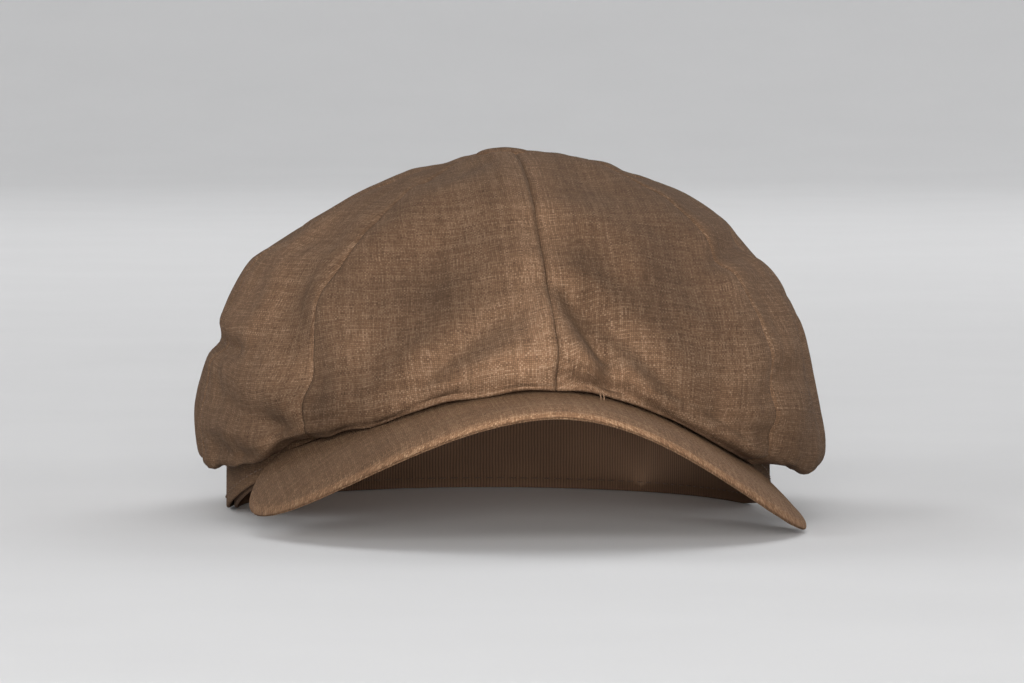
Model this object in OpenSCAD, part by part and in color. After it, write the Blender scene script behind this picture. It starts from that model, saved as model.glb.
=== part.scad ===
// Eight-gore newsboy cap with a covered top button, a stiffened visor,
// a head band and a full lining. Millimetres, +Z up, the cap resting on a
// table at z = 0 with its visor towards -Y and the wearer's left at +X.
// Azimuths are in degrees: 0 at the brow (-Y), 90 at +X, 180 at the nape (+Y).

/* [Head opening] */
// Length of the head opening, front to back, inside the sweatband
head_len = 200; // [192:1:208]
// Width of the head opening, inside the sweatband
head_wid = 162; // [156:1:168]
// How much narrower the opening is at the brow than at the nape
egg = 0.03; // [0:0.01:0.05]

/* [Crown] */
// Height of the crown above the table, before the dip around the button
crown_h = 113.5; // [110:0.5:122]
// Depth of the dip that the button sits in
seat_dip = 3.2; // [2:0.1:3.6]
// Reach of the crown in front of the button
crown_front = 109; // [106:1:112]
// Half width of the crown at its fullest
crown_side = 96.5; // [96:0.5:102]
// Reach of the crown behind the button
crown_back = 133; // [130:1:140]
// How far the button sits in front of the middle of the head opening
button_fwd = 18; // [14:1:22]
// Azimuth of the seam between the front gore and the side gore
seam_a = 48; // [44:1:50]
// Azimuth of the seam over the ear
seam_b = 92; // [88:1:96]
// Azimuth of the seam between the rear side gore and the back gore
seam_c = 136; // [132:1:140]
// Thickness of the crown cloth
cloth_t = 1.0; // [0.8:0.1:1.2]
// Thickness of the lining cloth
lining_t = 0.5; // [0.4:0.1:0.7]

/* [Head band] */
// Height of the head band at the sides and back
band_h = 29; // [26:1:31]
// How much lower the head band is at the brow
band_drop = 8; // [6:1:10]
// Thickness of the sweatband
sweat_t = 1.2; // [1:0.1:1.3]
// Thickness of the band stiffener
stiff_t = 0.8; // [0.6:0.1:0.9]
// Thickness of the outer band
band_t = 1.2; // [1:0.1:1.3]
// Height of the visor surface where it meets the brow
brow_z = 47.4; // [47:0.1:49]

/* [Visor] */
// Half width of the visor
visor_half = 84; // [83:0.5:86]
// Distance from the middle of the head opening to the visor's front edge
visor_fwd = 159; // [156:1:162]
// Fall of the visor per unit of length, brow to front edge
visor_fall = 0.13; // [0.12:0.005:0.14]
// Arch of the visor, in 1/mm: the drop at a side is this times its distance squared
visor_arch = 0.0081; // [0.0078:0.00005:0.0081]
// Thickness of each visor cover
cover_t = 0.9; // [0.7:0.1:1]
// Thickness of the visor board
board_t = 1.8; // [1.5:0.1:1.9]
// How far the board stops inside the covers' edge
board_inset = 2.2; // [1.5:0.1:3]
// Gap between the visor's inner edge and the head band
visor_gap = 1.3; // [1:0.1:1.6]

/* [Top button] */
// Radius of the covered button
button_r = 9.6; // [9:0.1:10.5]
// Height of the covered button
button_h = 3.9; // [3.8:0.1:5]
// Radius of the tack's shank
shank_r = 1.2; // [1:0.1:1.3]
// Radial clearance of the shank in its patch
shank_gap = 0.06; // [0.03:0.01:0.09]

/* [Hidden] */

LINEN = [0.46, 0.35, 0.27];
LINEN_DARK = [0.42, 0.32, 0.25];
LINING = [0.30, 0.22, 0.17];
SWEAT = [0.24, 0.18, 0.14];
BOARD = [0.88, 0.87, 0.84];
METAL = [0.70, 0.70, 0.72];

half_l = head_len / 2;
half_w = head_wid / 2;
button_z = crown_h - seat_dip;      // top of the crown cloth at the button

// Offsets outward from the head opening
band_gap = 0.2;                     // free gap between band layers
off_stiff = sweat_t + band_gap;
off_band = off_stiff + stiff_t + band_gap;
off_out = off_band + band_t;        // outer face of the head band
off_visor = off_out + visor_gap;

// Azimuth span of each gore
FRONT_LEFT = [0, seam_a];
SIDE_FRONT_LEFT = [seam_a, seam_b];
SIDE_REAR_LEFT = [seam_b, seam_c];
BACK_LEFT = [seam_c, 180];
BACK_RIGHT = [180, 360 - seam_c];
SIDE_REAR_RIGHT = [360 - seam_c, 360 - seam_b];
SIDE_FRONT_RIGHT = [-seam_b, -seam_a];
FRONT_RIGHT = [-seam_a, 0];

// ---- general helpers ----
function clamp01(value) = min(1, max(0, value));
// S-shaped step from 0 to 1
function smooth(value) = let (t = clamp01(value)) t * t * (3 - 2 * t);
function unit(vector) = vector / norm(vector);
function flatten(rows) = [for (row = rows) each row];
function quad(a, b, c, d) = [[a, b, c], [a, c, d]];

// A closed sheet between two matching grids of points
module sheet(outer, inner) {
  rows = len(outer);
  cols = len(outer[0]);
  out = function (i, j) i * cols + j;
  inn = function (i, j) (rows + i) * cols + j;
  last_i = rows - 1;
  last_j = cols - 1;
  faces = [
    for (i = [0:rows - 2]) for (j = [0:cols - 2]) each concat(
      quad(out(i, j), out(i + 1, j), out(i + 1, j + 1), out(i, j + 1)),
      quad(inn(i, j), inn(i, j + 1), inn(i + 1, j + 1), inn(i + 1, j))),
    for (i = [0:rows - 2]) each concat(
      quad(out(i, 0), inn(i, 0), inn(i + 1, 0), out(i + 1, 0)),
      quad(out(i, last_j), out(i + 1, last_j), inn(i + 1, last_j), inn(i, last_j))),
    for (j = [0:cols - 2]) each concat(
      quad(out(0, j), out(0, j + 1), inn(0, j + 1), inn(0, j)),
      quad(out(last_i, j), inn(last_i, j), inn(last_i, j + 1), out(last_i, j + 1)))
  ];
  polyhedron(points = concat(flatten(outer), flatten(inner)), faces = faces, convexity = 8);
}

// ---- head opening ----
// Plan point on the opening, grown by offset
function ring_pt(angle, offset) =
  [(half_w + offset) * sin(angle) * (1 - egg * cos(angle)), -(half_l + offset) * cos(angle)];
// Half width of that same ring at y
function ring_x(y, offset) =
  let (along = max(-1, min(1, y / (half_l + offset))))
  (half_w + offset) * sqrt(1 - along * along) * (1 + egg * along);

// ---- visor's upper surface ----
visor_ease = 2.6e-7;                // 1/mm^3, flattens the arch towards its ends
function visor_z(x, y) =
  brow_z - visor_fall * (-half_l - y) - visor_arch * x * x + visor_ease * pow(x, 4);
// Vertical height of a layer of unit thickness
function slant(x) =
  let (slope_x = -2 * visor_arch * x + 4 * visor_ease * pow(x, 3))
  sqrt(1 + visor_fall * visor_fall + slope_x * slope_x);

// ---- lower and upper edges of the head band, as heights over y ----
rise_y = -48;                       // behind this the band leaves the visor
flat_y = 26;                        // behind this it lies flat on the table
band_sink = 1.5;                    // lower edge below the visor's upper surface
function edge_on_visor(y) = visor_z(ring_x(y, off_out), y) - band_sink;
rise_z = edge_on_visor(rise_y);
rise_slope = edge_on_visor(rise_y + 0.5) - edge_on_visor(rise_y - 0.5);
// A cubic joins the part on the visor to the flat part
function band_low(y) =
  y <= rise_y ? edge_on_visor(y)
  : y >= flat_y ? 0
  : let (run = flat_y - rise_y, t = (y - rise_y) / run)
    max(0, rise_z * (2 * t * t * t - 3 * t * t + 1)
           + rise_slope * run * (t * t * t - 2 * t * t + t));
function band_top(y) = band_low(y) + band_h - band_drop * smooth(-y / half_l);

// ---- crown meridians: rows of [reach from the button's axis, height], ----
// ---- one row per knot, from the apex out and down to the sewn edge ----
OUTLINE_0 = [
  [0, 115], [18, 114.2], [38, 110], [58, 101], [76, 87.5],
  [90, 72.5], [99, 60.5], [105, 52.5], [108, 48], [109, 46]
];
OUTLINE_45 = [
  [0, 115], [18, 113.6], [37, 108], [56.5, 99], [74, 86],
  [88, 70], [96.5, 53], [99, 38], [97, 28.5], [91, 25]
];
OUTLINE_90 = [
  [0, 115], [18, 113], [35, 106.5], [54, 98], [70.5, 86.5],
  [84, 72], [92.5, 54], [98, 29], [95.5, 16.5], [84.9, 24]
];
OUTLINE_135 = [
  [0, 115], [19, 113], [41, 107], [63, 97.5], [83, 84],
  [100, 67], [111.5, 49], [117, 31], [114, 17.5], [103.6, 24]
];
OUTLINE_180 = [
  [0, 115], [20, 113.5], [44, 108.5], [68, 99], [91, 84.5],
  [111, 66.5], [125, 48], [133, 31], [131, 18], [123.3, 24]
];
last_knot = len(OUTLINE_0) - 1;
outline_apex = OUTLINE_0[0][1];
fixed_z = 60;                       // crown_h moves only what is above this

function outline_reach(outline) = max([for (point = outline) point[0]]);
front_scale = crown_front / outline_reach(OUTLINE_0);
side_scale = crown_side / outline_reach(OUTLINE_90);
back_scale = crown_back / outline_reach(OUTLINE_180);

function fit_z(z) =
  z > fixed_z ? z + (z - fixed_z) * (crown_h - outline_apex) / (outline_apex - fixed_z) : z;
// Except at the front, the sewn edge keeps its own reach, which suits the head band
function fit(outline, scale, keep_edge = true) = [
  for (k = [0:last_knot])
    [outline[k][0] * (keep_edge && k == last_knot ? 1 : scale), fit_z(outline[k][1])]
];
MERIDIANS = [
  fit(OUTLINE_0, front_scale, keep_edge = false),
  fit(OUTLINE_45, (front_scale + side_scale) / 2),
  fit(OUTLINE_90, side_scale),
  fit(OUTLINE_135, (back_scale + side_scale) / 2),
  fit(OUTLINE_180, back_scale)
];

// ---- crown surface, over azimuth and position along the knots ----
// Even cosine series that is 1 on meridian m and 0 on the other four
function meridian_weight(m, azimuth) =
  (m == 0 || m == 4 ? 1 : 2) / 4 *
  (0.5 + cos(45 * m) * cos(azimuth) + cos(90 * m) * cos(2 * azimuth)
   + cos(135 * m) * cos(3 * azimuth) + 0.5 * cos(180 * m) * cos(4 * azimuth));
function knot(k, azimuth) =
  [for (m = [0:4]) meridian_weight(m, azimuth)] * [for (outline = MERIDIANS) outline[k]];
// Catmull-Rom curve through the knots, mirrored at the apex and straight at the edge
function meridian(azimuth, pos) =
  let (k = min(last_knot - 1, floor(pos)), t = pos - k,
       start = knot(k, azimuth),
       end = knot(k + 1, azimuth),
       before = k == 0 ? [-end[0], end[1]] : knot(k - 1, azimuth),
       after = k == last_knot - 1 ? 2 * end - start : knot(k + 2, azimuth))
  0.5 * ((2 * start) + (end - before) * t
         + (2 * before - 5 * start + 4 * end - after) * t * t
         + (3 * start - before - 3 * end + after) * t * t * t);

// The front gores end on the visor; the hem is lifted or lowered onto it
hem_gap = 1.2;                      // sewn edge above the visor's surface
hem_fade = 34;                      // degrees past seam_a over which this dies out
hem_knot = 5;                       // knot from which the shift grows
function hem_shift(azimuth) =
  let (edge = meridian(azimuth, last_knot),
       x = edge[0] * sin(azimuth),
       y = -button_fwd - edge[0] * cos(azimuth))
  smooth((seam_a + hem_fade - abs(azimuth)) / hem_fade)
  * (visor_z(x, y) + hem_gap - edge[1]);

seat_r = 10.5;                      // flat floor of the dip around the button
seat_slope = 15;                    // width of the slope round that floor
function seat(reach) = seat_dip * (1 - smooth((reach - seat_r) / seat_slope));

function crown_pt(azimuth, pos) =
  let (point = meridian(azimuth, pos),
       hem = smooth((pos - hem_knot) / (last_knot - hem_knot)))
  [point[0] * sin(azimuth),
   -button_fwd - point[0] * cos(azimuth),
   point[1] - seat(point[0]) + hem * hem_shift(azimuth)];
// Outward normal, from differences either side
azimuth_step = 0.4;
pos_step = 0.05;
function crown_normal(azimuth, pos) =
  let (around = crown_pt(azimuth + azimuth_step, pos) - crown_pt(azimuth - azimuth_step, pos),
       down = crown_pt(azimuth, min(last_knot, pos + pos_step))
              - crown_pt(azimuth, max(0.02, pos - pos_step)))
  unit(cross(down, around));

// ---- gores ----
seam_gap = 0.12;                    // half the free gap along a seam
// Grid of points over a gore, its two sides moved in from the seams
function gore_grid(span, rows, cols, point_at) = [
  for (row = rows) [
    for (j = [0:cols])
      let (azimuth = span[0] + (span[1] - span[0]) * j / cols,
           side = j == 0 ? 1 : j == cols ? -1 : 0)
      point_at(azimuth, row) + side * seam_gap * [cos(azimuth), sin(azimuth), 0]
  ]
];

hole_r = shank_r + 0.5;             // hole where the gores meet
hole_pos = hole_r / OUTLINE_0[1][0];
normal_min_pos = 0.12;              // normals are taken no nearer the apex than this
CROWN_ROWS = [
  hole_pos, 0.3, 0.58, 0.8, 1.02, 1.3, 1.7, 2.3, 3.1, 3.9,
  4.8, 5.6, 6.3, 6.9, 7.3, 7.7, 8.0, 8.3, 8.65, last_knot
];
crown_cols = 8;
module gore(span) {
  outer = function (azimuth, pos) crown_pt(azimuth, pos);
  inner = function (azimuth, pos)
    crown_pt(azimuth, pos) - cloth_t * crown_normal(azimuth, max(pos, normal_min_pos));
  sheet(gore_grid(span, CROWN_ROWS, crown_cols, outer),
        gore_grid(span, CROWN_ROWS, crown_cols, inner));
}

// ---- lining: a plain dome inside the crown, down to the head band's top ----
lining_apex = button_z - 3.4;
lining_off = off_band - 0.5;        // offset of its edge from the head opening
lining_lift = 0.8;                  // its edge above the head band's top
lining_hole_r = 1.2;
lining_power = 1.15;                // shape of the dome; 1 is an ellipse
LINING_ROWS = [0, 0.08, 0.2, 0.34, 0.48, 0.62, 0.75, 0.87, 1];  // apex to edge
lining_cols = 6;

// Positive root of a quadratic
function far_root(square, linear, constant) =
  (-linear + sqrt(linear * linear - 4 * square * constant)) / (2 * square);
// Reach from the button's axis to the ring. egg is small, so the plain
// ellipse is solved first and its width then corrected once.
function ring_reach(azimuth, offset) =
  let (dir_x = sin(azimuth), dir_y = -cos(azimuth),
       radius_x = half_w + offset, radius_y = half_l + offset,
       square = function (width) pow(dir_x / width, 2) + pow(dir_y / radius_y, 2),
       linear = -2 * button_fwd * dir_y / (radius_y * radius_y),
       constant = pow(button_fwd / radius_y, 2) - 1,
       plain_y = -button_fwd + far_root(square(radius_x), linear, constant) * dir_y,
       egg_x = radius_x * (1 + egg * plain_y / radius_y))
  far_root(square(egg_x), linear, constant);

function lining_pt(azimuth, row, inset) =
  let (edge = ring_reach(azimuth, lining_off),
       edge_z = band_top(-button_fwd - edge * cos(azimuth)) + lining_lift,
       reach = max(edge * sin(90 * row), lining_hole_r) - inset * sin(90 * row),
       z = edge_z + (lining_apex - edge_z) * pow(max(0, cos(90 * row)), lining_power))
  [reach * sin(azimuth), -button_fwd - reach * cos(azimuth), z - inset * cos(90 * row)];

module lining_gore(span) {
  outer = function (azimuth, row) lining_pt(azimuth, row, 0);
  inner = function (azimuth, row) lining_pt(azimuth, row, lining_t);
  sheet(gore_grid(span, LINING_ROWS, lining_cols, outer),
        gore_grid(span, LINING_ROWS, lining_cols, inner));
}

// ---- head band layers: a straight ring cut to the band's side profile ----
ring_steps = 96;
stiff_inset = 1.5;                  // stiffener short of the band's edges
profile_end = 112;                  // profile's ends, clear of the ring
PROFILE_Y = [
  -profile_end, -100, -90, -80, -70, -60, rise_y,
  -36, -24, -12, 0, 12, flat_y, profile_end
];

module ring_outline(offset) {
  polygon([for (k = [0:ring_steps - 1]) ring_pt(360 * k / ring_steps, offset)]);
}
module ring_wall(offset, thick) {
  difference() {
    ring_outline(offset + thick);
    ring_outline(offset);
  }
}
// The part lying on the table stays at z = 0 whatever the inset
module side_profile(inset) {
  band_y = function (y) max(y, -half_l - off_out);
  low = function (y) let (z = band_low(band_y(y))) z <= 0 ? 0 : z + inset;
  last = len(PROFILE_Y) - 1;
  polygon(concat(
    [for (y = PROFILE_Y) [y, low(y)]],
    [for (k = [last:-1:0]) [PROFILE_Y[k], band_top(band_y(PROFILE_Y[k])) - inset]]
  ));
}
module band_layer(offset, thick, inset = 0) {
  intersection() {
    linear_extrude(height = 120) ring_wall(offset, thick);
    // profile drawn in Y-Z, run across the cap in X
    translate([-120, 0, 0]) rotate([90, 0, 90]) linear_extrude(height = 240)
      side_profile(inset);
  }
}

// ---- visor: plan grid between the brow edge and the front edge ----
// sweep runs from -1 to 1 end to end, across from 0 at the brow to 1 in front
brow_span = 60;                     // the visor's ends, as angles on the head opening
inset_angle = 0.45;                 // degrees taken off brow_span per mm of inset
turn = 112;                         // half sweep of the front edge's ellipse, degrees
visor_mid = 80;                     // centre of that ellipse, in front of the opening's
round_from = 0.94;                  // sweep at which the ends start rounding off
round_min = 0.4;                    // share of the depth left at the very ends
ply_gap = 0.1;                      // free gap between visor layers
END_SWEEPS = [0.955, 0.97, 0.985, 1];
sweep_steps = 30;
across_steps = 7;
VISOR_SWEEPS = [
  for (k = [len(END_SWEEPS) - 1:-1:0]) -END_SWEEPS[k],
  for (k = [0:sweep_steps]) round_from * (-1 + 2 * k / sweep_steps),
  each END_SWEEPS
];

function visor_front(sweep, inset) =
  [(visor_half - inset) * sin(turn * sweep),
   -visor_mid - (visor_fwd - visor_mid - inset) * cos(turn * sweep)];
function end_round(sweep) =
  let (t = clamp01((abs(sweep) - round_from) / (1 - round_from)))
  max(round_min, sqrt(1 - t * t));
function visor_plan(sweep, across, inset) =
  let (brow = ring_pt((brow_span - inset * inset_angle) * sweep, off_visor))
  brow + (visor_front(sweep, inset) - brow) * across * end_round(sweep);
// Grid at a depth below the visor's upper surface
function visor_grid(depth, inset) = [
  for (sweep = VISOR_SWEEPS) [
    for (j = [0:across_steps])
      let (plan = visor_plan(sweep, j / across_steps, inset))
      [plan[0], plan[1], visor_z(plan[0], plan[1]) - depth * slant(plan[0])]
  ]
];
module visor_layer(depth, thick, inset = 0) {
  sheet(visor_grid(depth + thick, inset), visor_grid(depth, inset));
}

// ---- covered button, on its tack ----
plate_z = button_z + 0.35;
plate_h = 0.8;
hub_h = 1.1;                        // raised middle of the back plate
hub_r = 2.4;
tack_z = button_z - 3.05;           // underside of the tack
tack_h = 5;
tack_head_h = 0.5;
tack_foot_r = 2.4;                  // disc below the washer
tack_head_r = 2.2;                  // disc inside the button
tack_head_z = button_z + 1.65;
tight_gap = 0.02;                   // shank clearance in the plate and washer

module at_button(z) translate([0, -button_fwd, z]) children();
module shank_hole(gap, height) {
  translate([0, 0, -1]) cylinder(h = height, r = shank_r + gap, $fn = 48);
}
module dome(radius, height, thick, skirt) {
  arc = function (r, rise, k) [r * sin(90 * k / 12), skirt + rise * cos(90 * k / 12)];
  rotate_extrude($fn = 72) polygon(concat(
    [for (k = [0:12]) arc(radius, height - skirt, k)],
    [[radius, 0], [radius - thick, 0]],
    [for (k = [12:-1:0]) arc(radius - thick, height - skirt - thick, k)]
  ));
}
// Flat disc with a hole for the shank
module shank_disc(height, radius, gap) {
  difference() {
    cylinder(h = height, r = radius, $fn = 64);
    shank_hole(gap, 3);
  }
}

module m_button_back_plate() color(METAL) at_button(plate_z) difference() {
  union() {
    cylinder(h = plate_h, r = button_r - 2.2, $fn = 64);
    cylinder(h = hub_h, r = hub_r, $fn = 48);
  }
  shank_hole(tight_gap, 4);
}
module m_button_shell() color(METAL) at_button(plate_z + 0.15)
  dome(radius = button_r - 0.9, height = button_h - 1.5, thick = 0.5, skirt = 1.2);
module m_button_cloth_cover() color(LINEN) at_button(plate_z - 0.1)
  dome(radius = button_r, height = button_h - 0.4, thick = 0.7, skirt = 1.4);
module m_button_tack() color(METAL) at_button(0) union() {
  translate([0, 0, tack_z]) cylinder(h = tack_h, r = shank_r, $fn = 48);
  translate([0, 0, tack_z]) cylinder(h = tack_head_h, r = tack_foot_r, $fn = 48);
  translate([0, 0, tack_head_z]) cylinder(h = tack_head_h, r = tack_head_r, $fn = 48);
}
module m_button_washer() color(METAL) at_button(button_z - 2.5)
  shank_disc(height = 0.6, radius = 5, gap = tight_gap);
module m_button_patch() color(LINING) at_button(button_z - 1.8)
  shank_disc(height = 0.45, radius = 5.8, gap = shank_gap);

// ---- named gores, band layers and visor layers ----
module m_panel_front_left() color(LINEN) gore(FRONT_LEFT);
module m_panel_front_right() color(LINEN) gore(FRONT_RIGHT);
module m_panel_side_front_left() color(LINEN) gore(SIDE_FRONT_LEFT);
module m_panel_side_front_right() color(LINEN) gore(SIDE_FRONT_RIGHT);
module m_panel_side_rear_left() color(LINEN) gore(SIDE_REAR_LEFT);
module m_panel_side_rear_right() color(LINEN) gore(SIDE_REAR_RIGHT);
module m_panel_back_left() color(LINEN) gore(BACK_LEFT);
module m_panel_back_right() color(LINEN) gore(BACK_RIGHT);

module m_lining_front_left() color(LINING) lining_gore(FRONT_LEFT);
module m_lining_front_right() color(LINING) lining_gore(FRONT_RIGHT);
module m_lining_side_front_left() color(LINING) lining_gore(SIDE_FRONT_LEFT);
module m_lining_side_front_right() color(LINING) lining_gore(SIDE_FRONT_RIGHT);
module m_lining_side_rear_left() color(LINING) lining_gore(SIDE_REAR_LEFT);
module m_lining_side_rear_right() color(LINING) lining_gore(SIDE_REAR_RIGHT);
module m_lining_back_left() color(LINING) lining_gore(BACK_LEFT);
module m_lining_back_right() color(LINING) lining_gore(BACK_RIGHT);

module m_outer_band() color(LINEN_DARK) band_layer(off_band, band_t);
module m_band_stiffener() color(BOARD) band_layer(off_stiff, stiff_t, stiff_inset);
module m_sweatband() color(SWEAT) band_layer(0, sweat_t);

module m_visor_top_cover() color(LINEN) visor_layer(0, cover_t);
module m_visor_board() color(BOARD) visor_layer(cover_t + ply_gap, board_t, board_inset);
module m_visor_under_cover() color(LINEN_DARK)
  visor_layer(cover_t + board_t + 2 * ply_gap, cover_t);

m_panel_front_left();  // panel_front_left
m_panel_front_right();  // panel_front_right
m_panel_side_front_left();  // panel_side_front_left
m_panel_side_front_right();  // panel_side_front_right
m_panel_side_rear_left();  // panel_side_rear_left
m_panel_side_rear_right();  // panel_side_rear_right
m_panel_back_left();  // panel_back_left
m_panel_back_right();  // panel_back_right
m_lining_front_left();  // lining_front_left
m_lining_front_right();  // lining_front_right
m_lining_side_front_left();  // lining_side_front_left
m_lining_side_front_right();  // lining_side_front_right
m_lining_side_rear_left();  // lining_side_rear_left
m_lining_side_rear_right();  // lining_side_rear_right
m_lining_back_left();  // lining_back_left
m_lining_back_right();  // lining_back_right
m_outer_band();  // outer_band
m_band_stiffener();  // band_stiffener
m_sweatband();  // sweatband
m_visor_top_cover();  // visor_top_cover
m_visor_board();  // visor_board
m_visor_under_cover();  // visor_under_cover
m_button_cloth_cover();  // button_cloth_cover
m_button_shell();  // button_shell
m_button_back_plate();  // button_back_plate
m_button_tack();  // button_tack
m_button_washer();  // button_washer
m_button_patch();  // button_patch
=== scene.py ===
# A soft linen cap: a slouched crown of eight gores, a twill lining, a layered head
# band, a curved visor and a cloth-covered top button, in a pale studio.
# Sizes are in millimetres and meshes are scaled to metres. +Z is up, the visor points
# along -Y and +X is the wearer's left. The band's rear lower edge lies at z = 0.
# Azimuths are in degrees: 0 in front, 90 at the wearer's left, 180 at the back.
import math

import bmesh
import bpy
import numpy as np
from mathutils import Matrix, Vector


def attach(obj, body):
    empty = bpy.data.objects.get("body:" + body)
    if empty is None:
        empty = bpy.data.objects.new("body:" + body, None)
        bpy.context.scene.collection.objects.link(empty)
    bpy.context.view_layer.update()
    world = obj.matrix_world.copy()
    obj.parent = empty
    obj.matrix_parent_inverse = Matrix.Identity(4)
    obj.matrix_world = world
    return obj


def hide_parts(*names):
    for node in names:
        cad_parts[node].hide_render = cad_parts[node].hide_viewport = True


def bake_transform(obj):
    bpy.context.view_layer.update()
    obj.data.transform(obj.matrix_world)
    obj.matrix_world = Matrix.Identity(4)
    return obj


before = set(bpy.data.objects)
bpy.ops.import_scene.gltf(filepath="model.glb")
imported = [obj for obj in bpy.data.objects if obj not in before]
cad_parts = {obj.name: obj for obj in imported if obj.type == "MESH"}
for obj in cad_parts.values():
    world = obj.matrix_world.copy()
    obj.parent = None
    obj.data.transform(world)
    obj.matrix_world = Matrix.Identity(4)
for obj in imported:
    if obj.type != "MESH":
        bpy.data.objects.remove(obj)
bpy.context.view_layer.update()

MM = 0.001
PI = math.pi
COLL = bpy.context.scene.collection

# =====================================================================
# Sizes
# =====================================================================
# head ring: an oval, slightly egg-shaped
HALF_LENGTH, HALF_WIDTH, EGG = 100.0, 81.0, 0.03

# crown
CROWN_HEIGHT = 113.5
CROWN_SIDE = 96.5                     # widest radius of the side meridian
SEAT_DIP = 3.2                        # hollow under the button
BUTTON_FWD = 18.0                     # crown axis, ahead of the ring's centre
BUTTON_SEAT = CROWN_HEIGHT - SEAT_DIP
SEAM_FRONT, SEAM_SIDE, SEAM_REAR = 48, 92, 136
SEAM_ANGLES = (0, SEAM_FRONT, SEAM_SIDE, SEAM_REAR, 180,
               360 - SEAM_REAR, 360 - SEAM_SIDE, 360 - SEAM_FRONT, 360)
TWIST = 1.6                           # the crown sits a little turned on the band, in degrees
HEM_GAP = 1.2
CROWN_CENTRE = np.array([0, -10.0, 30.0])

# layers of the band, from the head outwards
SWEAT_T, STIFF_T, BAND_T, LAYER_GAP = 1.2, 0.8, 1.2, 0.2
OFF_STIFF = SWEAT_T + LAYER_GAP
OFF_BAND = OFF_STIFF + STIFF_T + LAYER_GAP
OFF_OUT = OFF_BAND + BAND_T
OFF_VISOR = OFF_OUT + 1.3
OFF_LINING = OFF_BAND - 0.5
BAND_HEIGHT, BAND_DROP = 29.0, 8.0    # height behind, and how much less it is in front
RISE_Y, FLAT_Y = -48.0, 26.0          # the lower edge leaves the visor, and reaches z = 0

# visor
BROW_Z = 47.4
VISOR_HALF, VISOR_FWD, VISOR_MID = 84.0, 159.0, 80.0    # half width, front and centre in plan
VISOR_FALL, VISOR_ARCH, VISOR_EASE = 0.115, 0.0081, 2.6e-7
EDGE_TURN, BROW_SPAN = 112.0, 60.0    # half sweep of the outer and the brow edge, in degrees
VISOR_HALF_T = 1.9                    # half the thickness


# =====================================================================
# Small helpers
# =====================================================================
def smooth(value):
    """Eased step from 0 to 1."""
    value = np.clip(value, 0, 1)
    return value * value * (3 - 2 * value)


def bell(distance, width):
    return np.exp(-(distance / width) ** 2)


def wrap(angle):
    return (np.asarray(angle, float) + 180) % 360 - 180


def unit(vec):
    return vec / np.maximum(np.linalg.norm(vec, axis=-1, keepdims=True), 1e-9)


def spline(p0, p1, p2, p3, t):
    """Catmull-Rom curve from p1 to p2."""
    return 0.5 * (2 * p1 + (p2 - p0) * t + (2 * p0 - 5 * p1 + 4 * p2 - p3) * t * t
                  + (3 * p1 - p0 - 3 * p2 + p3) * t ** 3)


def arc(points, axis):
    """Length run so far along an axis of a grid of points."""
    step = np.linalg.norm(np.diff(points, axis=axis), axis=-1)
    zero = np.zeros_like(np.take(step, [0], axis=axis))
    return np.concatenate([zero, np.cumsum(step, axis=axis)], axis=axis)


def path_at(where, key, path):
    """Points of a path where its rising key takes the given values."""
    return np.stack([np.interp(where, key, column) for column in path.T], -1)


def polar(radius, turn, z):
    """Point round the crown's axis; turn is an azimuth in radians."""
    return np.stack([radius * np.sin(turn), -BUTTON_FWD - radius * np.cos(turn), z], -1)


def noise2(x, y, seed):
    """Smooth repeatable noise on a 64 x 64 lattice."""
    table = np.random.default_rng(seed).standard_normal((64, 64))
    x, y = np.asarray(x, float), np.asarray(y, float)
    ix, iy = np.floor(x).astype(int), np.floor(y).astype(int)
    fx, fy = smooth(x - ix), smooth(y - iy)

    def along_x(j):
        return table[ix % 64, j % 64] * (1 - fx) + table[(ix + 1) % 64, j % 64] * fx

    return along_x(iy) * (1 - fy) + along_x(iy + 1) * fy


# =====================================================================
# Head ring, visor surface and band edges
# =====================================================================
def ring_xy(angle, offset):
    angle = np.radians(angle)
    return ((HALF_WIDTH + offset) * np.sin(angle) * (1 - EGG * np.cos(angle)),
            -(HALF_LENGTH + offset) * np.cos(angle))


def ring_x(y, offset):
    """x of the ring on the wearer's left."""
    q = np.clip(y / (HALF_LENGTH + offset), -1, 1)
    return (HALF_WIDTH + offset) * np.sqrt(1 - q * q) * (1 + EGG * q)


def visor_even_z(x, y):
    """The visor's surface before its lopsided parts."""
    return (BROW_Z - VISOR_FALL * (-HALF_LENGTH - y) - VISOR_ARCH * x * x
            + VISOR_EASE * x ** 4)


def visor_z(x, y):
    # the wearer's right side rides a few millimetres higher
    roll = 5.4 * smooth((-x - 6) / 74)
    # and the middle is a little straighter than the corners
    ahead = np.maximum(-HALF_LENGTH - y, 0)
    lift = 8.0e-6 * bell(x + 4, 40) * ahead ** 3
    return visor_even_z(x, y) + roll + lift


def visor_slope(x):
    """Slope across the even visor surface."""
    return -2 * VISOR_ARCH * x + 4 * VISOR_EASE * x ** 3


def slant(x):
    """Vertical distance per unit of depth square to the visor."""
    return np.sqrt(1 + VISOR_FALL ** 2 + visor_slope(x) ** 2)


def edge_on_visor(y):
    # taken on the wearer's left, where the visor has no roll
    return visor_even_z(ring_x(y, OFF_OUT), y) - 1.5


RISE_Z = edge_on_visor(RISE_Y)
RISE_SLOPE = edge_on_visor(RISE_Y + 0.5) - edge_on_visor(RISE_Y - 0.5)


def band_low(y):
    """Lower edge: on the visor in front, then eased down to z = 0."""
    run = FLAT_Y - RISE_Y
    t = (y - RISE_Y) / run
    eased = np.maximum(0, RISE_Z * (2 * t ** 3 - 3 * t ** 2 + 1)
                       + RISE_SLOPE * run * (t ** 3 - 2 * t ** 2 + t))
    return np.where(y <= RISE_Y, edge_on_visor(y), np.where(y >= FLAT_Y, 0, eased))


def band_top(y):
    return band_low(y) + BAND_HEIGHT - BAND_DROP * smooth(-y / HALF_LENGTH)


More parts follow.
